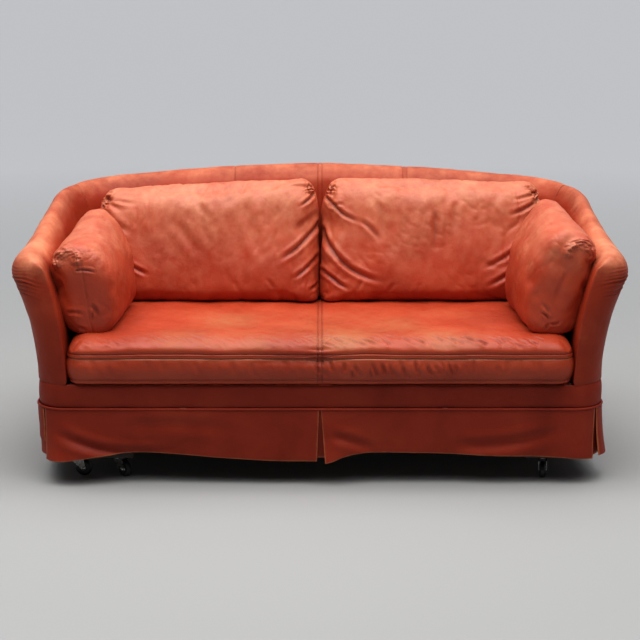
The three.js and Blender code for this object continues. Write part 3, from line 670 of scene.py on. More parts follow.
# %% Base band and welt
BAND_BULGE = 0.0045  # how far the band stands out of the base's outline
BAND_BACK = 0.003  # how far inside the outline the middle of its section lies
WELT_R, WELT_OUT, WELT_UP = 0.0036, 0.0075, 0.0015  # radius, stand-off, and height over the skirt's top
BASE_POINTS, BAND_SIDES, WELT_SIDES = 440, 28, 8  # round the base, and round each section
round_base = np.linspace(-HALF_ROUND, HALF_ROUND, BASE_POINTS + 1)[:-1]
turn = np.linspace(0, 2 * np.pi, BAND_SIDES + 1)[:-1]
band_low, band_high = SKIRT_TOP - 0.002, DECK_Z + 0.0005
rise = (band_high - band_low) / 2
swing = np.sign(np.cos(turn)) * np.abs(np.cos(turn)) ** 0.7 * np.where(np.cos(turn) > 0, 1, 0.8)
w = (BAND_BULGE + BAND_BACK) * swing - BAND_BACK
z = band_low + rise + rise * np.sign(np.sin(turn)) * np.abs(np.sin(turn)) ** 0.8
band = ring_mesh("base_leather", off_base(round_base, w, z))
p = points_of(band)
push_out(band, 0.0012 * waves(p, 0.16, 21) + 0.0005 * waves(p, 0.05, 22))
# Painted shadow: under the seat cushion's overhang the band is painted darker, more so towards its top.
under_seat = smooth(SEAT_HALF - np.abs(p[:, 0]), -0.02, 0.06) * (p[:, 1] < 0)
mark(band, "crease", under_seat * (0.25 + 0.35 * smooth(p[:, 2], band_low, band_high)))
dress(band, SHADED_SKIRT_LEATHER)
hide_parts("base_cover")
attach(band, "sofa")

turn = np.linspace(0, 2 * np.pi, WELT_SIDES + 1)[:-1]
w, z = WELT_OUT + WELT_R * np.cos(turn), SKIRT_TOP + WELT_UP + WELT_R * np.sin(turn)
welt = ring_mesh("skirt_welt", off_base(round_base, w, z))
dress(welt, SHADED_SKIRT_LEATHER)
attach(welt, "sofa")
print("band bulges", BAND_BULGE, "m; welt radius", WELT_R)

# %% [markdown]
# ## The skirt
# Lengths of lined leather hang from the welt, with a slit at the middle of the front and at each
# corner, and a strip behind the slits in front. Old leather keeps the set it has taken: hems lift
# between the slits, and corners kick out. A simulation would hang them straight, so each length is a
# surface whose hem has its own lift and flare, eased in from the top, and a thickness from Solidify.

# %% Skirt
SKIRT_THICK = 0.003
CORNER_SLIT = (SEAT_HALF + SIDE_START) / 2
REAR_SLIT = SIDE_END + REAR_ARC * 0.45
SLIT_HALF, REAR_SLIT_HALF = 0.003, 0.002  # half the opening of a slit
STRIP = 0.045  # half the width of the strip behind a slit
FRONT_STAND = (0.0052, 0.0085)  # how far the leather stands off the base at the welt and at the hem
SIDE_STAND = (0.0052, 0.011)
STRIP_STAND = (0.0007, 0.001)
STRIP_BOTTOM = SKIRT_BOTTOM + 0.008
HEAD_UP = 0.001  # how far the leather reaches up behind the welt
FINE_STEP, SIDE_STEP = 0.006, 0.009  # between the lines of points along a length


def spline_read(points, x):
    """A smooth curve through [x, y] points, read at x."""
    line = spline(np.array(points, float), np.linspace(0, 1, 300))
    return np.interp(x, line[:, 0], line[:, 1])


def skirt(
    name, low, high, stand, hem, flare, folds=(), bottom=SKIRT_BOTTOM, step=FINE_STEP, lean=(0, 0)
):
    """A hanging length from one distance round the base to another. hem and flare give how far its edge
    lifts and stands out, as [distance, amount] points. The flare grows with the square of the drop.
    lean is how far the hem's two ends shift along the base. The frame keeps the leather out as far down
    as the rails reach; below them it may hang inwards."""
    distance = spaced(low, high, step)
    drop = np.linspace(0, 1, 30)
    lift = spline_read(hem, distance)[:, None]
    more = spline_read(flare, distance)[:, None]
    z = SKIRT_TOP + HEAD_UP + (bottom + lift - SKIRT_TOP - HEAD_UP) * drop
    at_top, at_hem = stand
    w = at_top + SKIRT_THICK / 2 + (at_hem - at_top) * drop + more * drop**2
    flat = np.stack([np.broadcast_to(distance[:, None], z.shape), z], -1).reshape(-1, 2)
    push, shade = creases(flat, folds)
    hang = np.broadcast_to(drop, z.shape).ravel()
    push = push + (0.0012 * waves(flat, 0.25, 31) + 0.0005 * waves(flat, 0.08, 32)) * hang
    rails = at_top + SKIRT_THICK / 2 - 0.0015 - 0.030 * smooth(drop, 0.66, 1.1)
    w = np.maximum(w + push.reshape(z.shape), rails)
    from_low, from_high = (smooth(0.07 - np.abs(distance - end), 0, 0.07) for end in (low, high))
    shift = (lean[0] * from_low + lean[1] * from_high)[:, None] * drop
    rows = [
        off_base(distance + shift[:, k], w[:, k : k + 1], z[:, k : k + 1])[:, 0] for k in range(len(drop))
    ]
    points = np.stack(rows, 1)
    piece = add_mesh(name, points.reshape(-1, 3), grid_quads(np.arange(z.size).reshape(z.shape)))
    faces_inwards = (normals_of(piece)[:, :2] * points.reshape(-1, 3)[:, :2]).sum(1).mean() < 0
    if faces_inwards:
        piece.data.flip_normals()
    mark(piece, "crease", 0.3 * shade)
    slit = np.minimum(flat[:, 0] - low, high - flat[:, 0])
    edges = np.maximum(smooth(hang, 0.965, 1.0), smooth(0.004 - slit, 0, 0.004))
    mark(piece, "wear_and_sheen", 0.9 * edges + 0.1 * hang)
    solid = piece.modifiers.new("thickness", "SOLIDIFY")
    solid.thickness = SKIRT_THICK
    solid.offset = 0
    dress(piece, SHADED_SKIRT_LEATHER)
    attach(piece, "sofa")
    return piece


front_left = skirt(
    "skirt_leather_front_left", -CORNER_SLIT + SLIT_HALF, -SLIT_HALF, FRONT_STAND,
    [
        [-0.82, 0.002], [-0.76, 0.004], [-0.66, 0.016], [-0.54, 0.024], [-0.42, 0.020], [-0.28, 0.009],
        [-0.12, 0.001], [0, 0]
    ],
    [
        [-0.82, 0.006], [-0.79, 0.020], [-0.74, 0.026], [-0.66, 0.014], [-0.54, 0.000], [-0.40, -0.004],
        [-0.28, 0.003], [0, 0.006]
    ],
    [
        ((-0.80, 0.172), (-0.40, 0.112), -0.20, 0.012, 0.009),
        ((-0.60, 0.172), (-0.20, 0.150), 0.1, 0.016, 0.003)
    ],
    lean=(0.010, -0.006),
)
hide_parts("skirt_front_left")
front_right = skirt(
    "skirt_leather_front_right", SLIT_HALF, CORNER_SLIT - SLIT_HALF, FRONT_STAND,
    [
        [0, -0.002], [0.03, 0.003], [0.08, 0.017], [0.14, 0.025], [0.30, 0.024], [0.48, 0.018],
        [0.64, 0.014], [0.75, 0.009], [0.82, 0.003]
    ],
    [
        [0, 0.028], [0.03, 0.022], [0.08, 0.009], [0.14, 0.000], [0.30, -0.004], [0.48, 0.002],
        [0.64, 0.001], [0.75, 0.008], [0.82, 0.006]
    ],
    [((0.02, 0.150), (0.17, 0.098), 0.1, 0.012, 0.006), ((0.38, 0.122), (0.74, 0.176), -0.12, 0.015, 0.007)],
    lean=(0.012, -0.012),
)
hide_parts("skirt_front_right")
for side_name, side in SIDES:
    low, high = sorted((side * (CORNER_SLIT + SLIT_HALF), side * (REAR_SLIT - REAR_SLIT_HALF)))
    kick = 0.010 if side > 0 else -0.024
    kicks = [[CORNER_SLIT, kick], [0.88, kick], [0.95, 0.2 * kick]]
    kicks += [[1.1, 0.001], [1.3, -0.003], [REAR_SLIT, 0.004]]
    lifts = [[CORNER_SLIT, 0.010], [0.88, 0.006], [1.0, 0.010], [1.25, 0.014], [REAR_SLIT, 0.003]]
    flare, lifts = (sorted([side * at, amount] for at, amount in given) for given in (kicks, lifts))
    panel = skirt(f"skirt_leather_side_{side_name}", low, high, SIDE_STAND, lifts, flare, step=SIDE_STEP)
    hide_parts(f"skirt_side_{side_name}")
    low, high = sorted((side * (CORNER_SLIT - STRIP), side * (CORNER_SLIT + STRIP)))
    flat_hem = [[low, 0], [high, 0]]
    strip = skirt(
        f"pleat_strip_{side_name}", low, high, STRIP_STAND, flat_hem, flat_hem, bottom=STRIP_BOTTOM
    )
    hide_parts(f"skirt_pleat_front_{side_name}")
far_slit = 2 * HALF_ROUND - REAR_SLIT
back_hem = [[REAR_SLIT, 0.003], [1.9, 0.010], [2.2, 0.004], [2.5, 0.011], [far_slit, 0.003]]
back_flare = [[REAR_SLIT, 0.010], [1.9, -0.003], [2.2, 0.003], [2.5, -0.004], [far_slit, 0.010]]
panel = skirt(
    "skirt_leather_back", REAR_SLIT + REAR_SLIT_HALF, far_slit - REAR_SLIT_HALF, SIDE_STAND,
    back_hem, back_flare, step=SIDE_STEP,
)
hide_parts("skirt_back")
flat_hem = [[-STRIP, 0], [STRIP, 0]]
strip = skirt("pleat_strip_centre", -STRIP, STRIP, STRIP_STAND, flat_hem, flat_hem, bottom=STRIP_BOTTOM)
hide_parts("skirt_pleat_front_centre")

# %% [markdown]
# ## Cushions
# A loose cushion starts as the skin of a box: a lattice on its six sides, joined at the edges. The
# lattice is then mapped to the cushion's form. That gives one closed mesh with even quads, no poles,
# and rows that can run exactly along a seam.

# %% The lattice
def box_skin(xs, ys, zs):
    """The surface lattice of a box from its three lists of numbers: points and outward quads, with the
    points that two sides share kept once."""
    shape = (len(xs), len(ys), len(zs))
    outer = np.ones(shape, bool)
    outer[1:-1, 1:-1, 1:-1] = False
    ids = np.where(outer, np.cumsum(outer.ravel()).reshape(shape) - 1, -1)
    points = np.stack(np.meshgrid(xs, ys, zs, indexing="ij"), -1)[outer]
    sides = [ids[0], ids[-1][:, ::-1], ids[:, 0][:, ::-1], ids[:, -1], ids[:, :, 0], ids[:, :, -1][:, ::-1]]
    return points, np.concatenate([grid_quads(s) for s in sides]), ids


def rounded_box(q, half, radius):
    """Box lattice points q (from -1 to 1 each way) on a box with rounded edges: inside the radius of an
    edge, what lies beyond the straight part is bent onto an ellipse, keeping its direction."""
    p = q * half
    straight = np.clip(p, radius - half, half - radius)
    over = (p - straight) / radius
    length = np.linalg.norm(over, axis=1, keepdims=True)
    longest = np.abs(over).max(1, keepdims=True)
    return straight + radius * over * np.where(length > 0, longest / np.maximum(length, 1e-9), 0)


# %% [markdown]
# ## Filling a pillow
# The back and arm cushions are feather pillows in leather cases. Each is blown up by Blender's cloth
# solver for twenty frames from a form near its final size, with pressure inside and no gravity, and
# how far any point may move is capped. That gives the swell between the corners and the small wrinkles
# at the edges, which a formula gives only stiffly. The result is applied, so no solver is left on it.

# %% Cloth solver
SWELL_FRAMES, SWELL_PRESSURE = 20, 4.0
SWELL_CAP = 0.009  # the furthest that a point may move


def blow_up(piece):
    """Swells a closed mesh with the cloth solver, and caps how far each point may move."""
    start = points_of(piece)
    cloth = piece.modifiers.new("swell", "CLOTH")
    cloth.settings.quality = 6
    cloth.settings.mass = 0.4
    cloth.settings.tension_stiffness = 30
    cloth.settings.compression_stiffness = 30
    cloth.settings.shear_stiffness = 12
    cloth.settings.bending_stiffness = 2.0
    cloth.settings.use_pressure = True
    cloth.settings.uniform_pressure_force = SWELL_PRESSURE
    cloth.settings.shrink_min = -0.03
    cloth.settings.effector_weights.gravity = 0
    cloth.collision_settings.use_collision = False
    cloth.point_cache.frame_start, cloth.point_cache.frame_end = 1, SWELL_FRAMES
    scene = bpy.context.scene
    for number in range(1, SWELL_FRAMES + 1):
        scene.frame_set(number)
    shown = piece.evaluated_get(bpy.context.evaluated_depsgraph_get())
    flat = np.empty(3 * len(start), np.float32)
    shown.data.vertices.foreach_get("co", flat)
    piece.modifiers.remove(cloth)
    scene.frame_set(1)
    move = flat.reshape(-1, 3) - start
    length = np.linalg.norm(move, axis=1, keepdims=True)
    set_points(piece, start + move * np.minimum(1, SWELL_CAP / np.maximum(length, 1e-9)))
    print(f"{piece.name}: swelled by up to {1000 * length.max():.1f} mm, capped at {1000 * SWELL_CAP:.0f}")


def refine(piece, levels):
    """Applies this many levels of subdivision."""
    smoother = piece.modifiers.new("smoother", "SUBSURF")
    smoother.levels = smoother.render_levels = levels
    shown = piece.evaluated_get(bpy.context.evaluated_depsgraph_get())
    mesh = bpy.data.meshes.new_from_object(shown)
    piece.modifiers.remove(smoother)
    piece.data = mesh
    piece.data.shade_smooth()


REST_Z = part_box("seat_cushion_cover")[1].z - 0.007  # the pillows sink 7 mm into the seat
REST_SOFT = 0.003  # the height over which their feet flatten


def settled(p):
    """Points of a cushion in place, with its foot flattened where it rests on the seat: a soft floor,
    height + log(1 + e^x), that leaves what is higher alone."""
    p = p.copy()
    p[:, 2] = REST_Z + np.logaddexp(0, (p[:, 2] - REST_Z) / REST_SOFT) * REST_SOFT
    return p


def turned(p, degrees_x=0.0, degrees_y=0.0, degrees_z=0.0):
    """Points turned about X, then Y, then Z."""
    for axis, degrees in enumerate((degrees_x, degrees_y, degrees_z)):
        a, b = [(1, 2), (2, 0), (0, 1)][axis]
        c, s = np.cos(np.radians(degrees)), np.sin(np.radians(degrees))
        p = p.copy()
        p[:, a], p[:, b] = c * p[:, a] - s * p[:, b], s * p[:, a] + c * p[:, b]
    return p


# %% [markdown]
# ## Back cushions
# Two pillows lean against the back. Their leather runs over the top in one piece and is gathered to a
# knot at each upper corner. Years of leaning have drawn deep creases from the inner corners outwards.

# %% Back cushions
BACK_SIZE = np.array([0.728, 0.164, 0.368])
BACK_LEAN = -8.0  # degrees about X
BACK_PLACE = (0.367, 0.182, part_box("seat_cushion_cover")[1].z + 0.003)
LEFT_CREASES = [
    ((0.00, 0.62), (0.20, 0.28), -0.12, 0.007, 0.0075, True),
    ((0.00, 0.34), (0.13, 0.13), -0.1, 0.006, 0.006, True),
    ((0.01, 0.92), (0.10, 0.76), -0.15, 0.005, 0.005, True),
    ((0.00, 0.09), (0.05, 0.03), 0.0, 0.005, 0.004, True),
    ((0.00, 0.75), (0.12, 0.56), -0.1, 0.008, 0.003),
    ((0.02, 0.97), (0.08, 1.02), 0.0, 0.004, 0.003, True),
    ((0.02, 0.94), (0.15, 0.945), 0.1, 0.005, 0.003, True),
    ((0.51, 0.70), (0.50, 0.42), 0.05, 0.012, 0.0035),
    ((0.33, 0.88), (0.24, 0.26), 0.08, 0.016, 0.004),
    ((0.56, 0.87), (0.47, 0.63), 0.05, 0.010, 0.0025),
    ((0.63, 0.66), (0.52, 0.32), 0.05, 0.014, 0.003),
    ((0.85, 0.27), (0.75, 0.17), 0.0, 0.006, 0.005),
    ((0.99, 0.90), (0.86, 0.72), 0.1, 0.008, 0.004, True),
    ((0.98, 0.86), (0.80, 0.80), 0.05, 0.006, 0.003, True),
    ((0.96, 0.70), (0.80, 0.52), 0.1, 0.010, 0.003),
    ((0.20, 0.05), (0.24, 0.16), 0.1, 0.006, 0.0025),
    ((0.36, 0.03), (0.38, 0.14), 0.1, 0.006, 0.002),
]
RIGHT_CREASES = [
    ((0.00, 0.57), (0.31, 0.11), -0.30, 0.008, 0.0090, True),
    ((0.01, 0.21), (0.14, 0.04), -0.1, 0.006, 0.006, True),
    ((0.02, 0.86), (0.19, 0.63), -0.18, 0.006, 0.006, True),
    ((0.17, 0.66), (0.27, 0.45), 0.12, 0.007, 0.005),
    ((0.04, 0.78), (0.11, 0.79), 0.1, 0.005, 0.003, True),
    ((0.24, 0.87), (0.27, 0.44), 0.10, 0.010, 0.004),
    ((0.505, 0.76), (0.505, 0.37), 0.04, 0.009, 0.006),
    ((0.60, 0.84), (0.60, 0.52), -0.05, 0.010, 0.004),
    ((0.94, 0.52), (0.69, 0.21), 0.10, 0.007, 0.0055, True),
    ((0.90, 0.29), (0.71, 0.06), 0.10, 0.007, 0.005),
    ((0.99, 0.86), (0.82, 0.69), 0.12, 0.006, 0.005, True),
    ((0.99, 0.92), (0.84, 0.83), 0.1, 0.005, 0.003, True),
    ((0.16, 0.03), (0.19, 0.15), 0.1, 0.006, 0.003),
    ((0.30, 0.02), (0.33, 0.12), 0.1, 0.006, 0.0025),
    ((0.43, 0.02), (0.44, 0.12), 0.1, 0.006, 0.002),
    ((0.38, 0.70), (0.36, 0.40), 0.05, 0.014, 0.0025),
    ((0.80, 0.95), (0.74, 0.70), 0.05, 0.012, 0.002),
]


def crowded(count, ends):
    """Numbers from -1 to 1, closer together near both ends: even steps plus a sine."""
    t = np.linspace(-1, 1, count)
    return t + ends * np.sin(np.pi * t) / np.pi


def pillow(name, size, radius, top_radius, counts, shape):
    """A closed pillow about its own middle, rounder above than below. shape moves the points further."""
    axes = [crowded(n, 0.35) for n in counts]
    lattice, quads, _ = box_skin(*axes)
    upper = (lattice[:, 2:] > 0) * np.array([0, 0, 1.0])
    p = rounded_box(lattice, size / 2, radius + upper * (top_radius - radius[2]))
    return add_mesh(name, shape(p, lattice), quads)


def back_form(p, q, slope):
    """Crowns the front and the back, gives it a belly low down where the feathers have sunk, draws the
    ends in between their corners, and slopes the top down towards the outer end."""
    crown = (1 - q[:, 0] ** 2) * (1 - q[:, 2] ** 2)
    p = p.copy()
    p[:, 1] += 0.014 * np.sign(q[:, 1]) * np.abs(q[:, 1]) ** 3 * np.sqrt(crown)
    front = smooth(-q[:, 1], -0.2, 1)
    p[:, 1] += front * (0.048 * smooth(q[:, 2], -1.0, 1.0) - 0.030)
    p[:, 0] -= 0.008 * q[:, 0] ** 5 * (1 - q[:, 2] ** 2)
    p[:, 2] -= slope * (0.5 + 0.5 * q[:, 0]) * smooth(q[:, 2], -0.5, 1)
    p[:, 2] += 0.022 * smooth(q[:, 2], 0, 1) * (1 - np.abs(q[:, 0]) ** 3)
    return p


def knot(p, centre, reach, seed):
    """The push and shade of a gathered corner: a ruffled lump about a centre with a dimple in the
    middle. Pleats run out from it like spokes, swirling a little, and fade."""
    off = p - centre
    r = np.linalg.norm(off, axis=1)
    angle = np.arctan2(off[:, 2], off[:, 0] + 0.6 * off[:, 1])
    spokes = np.cos(9 * angle + 60 * r + 1.4 * waves(p, 0.02, seed))
    lump = bump(r - 0.45 * reach, 0.35 * reach)
    push = 0.004 * lump * (0.35 + 0.65 * spokes) - 0.006 * bump(r, 0.22 * reach)
    push += 0.0018 * spokes * bump(r - reach, 0.6 * reach)
    dark = smooth(-spokes, 0.35, 1) * (lump + 0.5 * bump(r - reach, 0.5 * reach))
    return push, dark + 0.4 * bump(r, 0.2 * reach)


BACK_RADIUS = np.array([0.055, 0.060, 0.028])
BACK_TOP_R = 0.105  # rounding of a back pillow's top
KNOT_IN, KNOT_DOWN, KNOT_Y = 0.018, 0.024, -0.030  # a knot's place, from the pillow's end, top and middle
KNOT_R = 0.026  # its reach, and the outer one reaches 6 mm further
SUNK = 0.016  # how much lower an arm pillow's foot would reach, if the seat did not hold it up
BACK_SUNK = 0.036  # the same for a back pillow


def back_cushion(side_name, side, lines, slope):
    """One back cushion. Its local X runs outwards, and its creases are given as shares of its front."""
    size = BACK_SIZE * [1.0, 0.97, 1.0] + [0, 0, BACK_SUNK]

    def shaped(p, q):
        return back_form(p, q, slope)

    piece = pillow(f"back_pillow_{side_name}", size, BACK_RADIUS, BACK_TOP_R, (48, 14, 30), shaped)
    blow_up(piece)
    refine(piece, 2)
    p, n = points_of(piece), normals_of(piece)
    u = 0.5 + p[:, 0] / BACK_SIZE[0]
    v = 0.5 + (p[:, 2] - BACK_SUNK / 2) / BACK_SIZE[2]
    flat = np.stack([u * BACK_SIZE[0], v * BACK_SIZE[2]], -1)
    scaled = [(a * BACK_SIZE[::2], b * BACK_SIZE[::2], *rest) for a, b, *rest in lines]
    push, shade = creases(flat, scaled)
    facing = smooth(-n[:, 1], 0.0, 0.45)
    out = push * facing + 0.0020 * waves(p, 0.16, 43 + side) + 0.0005 * waves(p, 0.05, 45 + side)
    out += 0.0034 * wrinkles(p * [1, 1, 0.5], 0.10, 83 + side)
    out += 0.0016 * wrinkles(p * [1, 1, 0.7], 0.045, 87 + side, 0.5)
    shade = shade * facing
    for end, drop in ((-1, 0.0), (1, slope)):
        centre = [end * (size[0] / 2 - KNOT_IN), KNOT_Y, size[2] / 2 - KNOT_DOWN - drop]
        lump, dark = knot(p, np.array(centre), KNOT_R + 0.006 * (end > 0), 71 + end + side)
        out += lump
        shade = np.maximum(shade, 0.8 * dark)
    push_out(piece, out)
    # Painted shade in the creases and round the knots.
    mark(piece, "crease", shade)
    # Paler towards the top: abraded leather and a painted sheen on the upper part, which faces the light.
    mark(piece, "wear_and_sheen", 0.22 + 0.50 * smooth(v, 0.0, 0.95) + 0.08 * waves(p, 0.16, 47 + side))
    p = points_of(piece)
    p[:, 0] *= side
    p = turned(p + [0, 0, (BACK_SIZE[2] - BACK_SUNK) / 2], BACK_LEAN)
    set_points(piece, settled(p + [side * BACK_PLACE[0], *BACK_PLACE[1:]]))
    if side < 0:
        piece.data.flip_normals()
    dress(piece, CUSHION_LEATHER)
    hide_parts(f"back_cushion_cover_{side_name}", f"back_cushion_fill_{side_name}")
    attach(piece, "sofa")
    print(piece.name, len(piece.data.polygons), "faces")


back_cushion("left", -1, LEFT_CREASES, 0.040)
back_cushion("right", 1, RIGHT_CREASES, 0.016)

# %% [markdown]
# ## Arm cushions
# One pillow stands against each arm. Seen from the front its end is an egg shape, wide at the top and
# tucked in below. A seam runs up the front, and the leather is gathered over the top of the end.

# %% Arm cushions
ARM_SIZE = np.array([0.158, 0.410, 0.296])
ARM_PLACE = (0.670, -0.160, BACK_PLACE[2] + 0.011)


def arm_form(p, q, drop, rise):
    """An egg-shaped end: fullest in the middle, tucked in at the foot, crowned on both faces, and
    lower at the front by drop and higher at the rear by rise. Its upper front leans on the arm, so it
    narrows from the inner side there."""
    p = p.copy()
    crown = (1 - q[:, 1] ** 2) * (1 - q[:, 2] ** 2)
    p[:, 0] += 0.012 * np.sign(q[:, 0]) * np.abs(q[:, 0]) ** 3 * np.sqrt(crown)
    p[:, 0] *= 1 - 0.20 * smooth(-q[:, 2], 0.2, 1)
    upper, rear = smooth(q[:, 2], 0.1, 1), smooth(q[:, 1], -0.9, 0.9)
    p[:, 0] = p[:, 0] * (1 - upper * (0.12 + 0.26 * rear)) + upper * (0.014 * rear - 0.008)
    p[:, 2] += (rise * rear - drop * (1 - rear)) * smooth(q[:, 2], -0.6, 1)
    return p


ARM_RADIUS = np.array([0.060, 0.036, 0.060])
ARM_TOP_R = 0.072  # rounding of an arm pillow's top
ROLL_PITCH = 0.0095  # from one fold of the gathered roll to the next
ARM_TURN = 3  # degrees about Z, towards the middle at the rear
LEFT_ARM = {
    "lean": 10.5, "drop": 0.044, "rise": 0.004, "arch": (-0.024, 0.070), "arch_r": 0.034, "seam": 1.0,
    "lines": [
        ((0.002, 0.050), (0.058, 0.030), 0.15, 0.0036, 0.0036, True),
        ((-0.062, -0.070), (0.000, -0.086), 0.15, 0.005, 0.003),
        ((0.016, -0.055), (0.030, -0.105), 0.3, 0.005, 0.004),
        ((0.012, -0.110), (0.032, -0.075), 0.3, 0.004, 0.003),
        ((-0.040, -0.120), (-0.010, -0.140), 0.3, 0.005, 0.003),
    ],
}
RIGHT_ARM = {
    "lean": 13.0, "drop": 0.000, "rise": 0.034, "arch": (-0.030, 0.096), "arch_r": 0.037, "seam": 0.2,
    "lines": [
        ((0.010, -0.105), (0.046, -0.088), 0.3, 0.004, 0.004),
        ((0.006, -0.112), (-0.026, -0.098), 0.3, 0.004, 0.003),
        ((0.008, -0.112), (0.012, -0.140), 0.2, 0.004, 0.003),
        ((0.016, -0.088), (0.050, -0.060), 0.3, 0.005, 0.003),
        ((-0.010, 0.060), (0.004, -0.060), 0.1, 0.008, 0.002),
    ],
}


def arm_cushion(side_name, side, form):
    """One arm cushion. Its local X runs inwards. A roll of gathered leather arches over the outer top
    corner of its front end, creased along its length, as far as the seam down the front."""
    size = ARM_SIZE * [1.04, 1.0, 1.0] + [0, 0, SUNK + 0.012]

    def shaped(p, q):
        return arm_form(p, q, form["drop"], form["rise"])

    piece = pillow(f"arm_pillow_{side_name}", size, ARM_RADIUS, ARM_TOP_R, (15, 32, 26), shaped)
    blow_up(piece)
    refine(piece, 2)
    p, n = points_of(piece), normals_of(piece)
    inward = p[:, 0]
    front = smooth(-n[:, 1], 0.25, 0.7)
    end_face = smooth(-p[:, 1], 0.14, 0.18)
    below_arch = smooth(form["arch"][1] - p[:, 2], 0, 0.02)
    seam = form["seam"] * bump(inward - 0.014 - 0.06 * p[:, 2], 0.0020) * front * below_arch
    arch_x, arch_z = inward - form["arch"][0], p[:, 2] - form["arch"][1]
    r, angle = np.hypot(arch_x, 0.9 * arch_z), np.arctan2(arch_z, arch_x)
    above = smooth(np.sin(angle), -0.35, 0.25) * end_face
    uneven, rough = waves(p, 0.030, 51 + side), waves(p, 0.011, 52 + side)
    folds = np.cos(2 * np.pi * r / ROLL_PITCH + 2.2 * uneven + 1.2 * rough + 2.0 * angle)
    roll = bump(r - form["arch_r"], 0.015) * above * (0.85 + 0.25 * uneven)
    out = 0.0098 * roll + 0.0020 * roll * (folds + 0.6 * rough) - 0.0022 * seam
    out += 0.002 * waves(p, 0.12, 53 + side) + 0.0012 * wrinkles(p, 0.07, 54 + side)
    out += 0.0010 * wrinkles(p, 0.035, 56 + side, 0.5)
    push, shade = creases(np.stack([inward, p[:, 2]], -1), form["lines"])
    push_out(piece, out + push * front)
    # Painted shade: the roll's fold valleys and the creases are painted dark, and the seam line is darkened.
    mark(piece, "crease", 0.35 * seam + 0.7 * roll * smooth(-folds, 0.2, 1) + shade * front)
    # Paler on the upper part and on the roll: abraded leather and a painted sheen, less of it on the faces
    # that look forward.
    worn_and_sheen = 0.20 + 0.40 * smooth(p[:, 2], -0.05, 0.12) + 0.15 * roll + 0.08 * waves(p, 0.1, 57 + side)
    mark(piece, "wear_and_sheen", worn_and_sheen - 0.15 * front)
    p = points_of(piece)
    p[:, 0] *= -side
    p = turned(p + [0, 0, (ARM_SIZE[2] - SUNK) / 2 - 0.014], 0, form["lean"] * side, ARM_TURN * side)
    set_points(piece, settled(p + [side * ARM_PLACE[0], *ARM_PLACE[1:]]))
    if side > 0:
        piece.data.flip_normals()
    dress(piece, CUSHION_LEATHER)
    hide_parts(f"arm_cushion_cover_{side_name}", f"arm_cushion_fill_{side_name}")
    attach(piece, "sofa")
    print(piece.name, len(piece.data.polygons), "faces")


arm_cushion("left", -1, LEFT_ARM)
arm_cushion("right", 1, RIGHT_ARM)

# %% [markdown]
# ## The seat cushion
# One long foam cushion in a boxed case. A twin-stitched seam joins the top to the boxing, another runs
# from back to front down the middle and down the boxing. The top is domed, and over its front edge the
# stretched leather has fallen into short slanting wrinkles. Foam keeps its shape, so this one needs no
# solver: its sections are known.

# %% Seat cushion form
SEAT_LOW, SEAT_HIGH = (np.array(c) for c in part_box("seat_cushion_cover"))
SEAT_SIZE = SEAT_HIGH - SEAT_LOW
SEAT_MIDDLE = (SEAT_LOW + SEAT_HIGH) / 2
FRONT_R, REAR_R = 0.046, 0.160
SEAM_GAP = 0.0065  # from the middle of a twin seam to each row of stitches
UPPER_SEAM, LOWER_SEAM = SEAT_LOW[2] + 0.087, SEAT_LOW[2] + 0.015  # heights of the boxing's seams
LOWER_STITCHES, UPPER_STITCHES = UPPER_SEAM - SEAM_GAP, UPPER_SEAM + SEAM_GAP
ROW_GAP = 0.002  # from a sunk row to the rows beside it
BOXING_FOOT = LOWER_SEAM + 0.003
BOXING_RISE = LOWER_STITCHES - LOWER_SEAM - 0.006
SIDE_ROWS = np.array([  # stand-off and height of each row up the boxing
    *[(-0.016 + 0.016 * np.sin(a), SEAT_LOW[2] + 0.013 * (1 - np.cos(a))) for a in np.linspace(0, 1.45, 5)],
    (-0.0022, LOWER_SEAM), (0.0008, BOXING_FOOT),
    *[(0.001 + 0.0075 * np.sin(np.pi * s) ** 0.8, BOXING_FOOT + s * BOXING_RISE)
      for s in np.linspace(0.08, 0.94, 16)],
    (0.0014, LOWER_STITCHES - ROW_GAP), (-0.0012, LOWER_STITCHES), (0.0014, LOWER_STITCHES + ROW_GAP),
    (0.0020, UPPER_SEAM - ROW_GAP), (0.0004, UPPER_SEAM), (0.0014, UPPER_SEAM + ROW_GAP),
    (0.0002, UPPER_STITCHES - ROW_GAP), (-0.0026, UPPER_STITCHES), (0, UPPER_STITCHES + ROW_GAP),
])
DOME = 0.044  # from the seam to the crown
SHOULDER_RUN = np.array([0.070, 0.100])  # how far in the crown starts, from the ends and from the front


def shoulder(e):
    """How high the dome has risen at distances e in from both edges: a quarter of a superellipse each."""
    t = np.clip(e / SHOULDER_RUN, 0, 1)
    return ((1 - (1 - t) ** 2.3) ** (1 / 1.9)).prod(1)


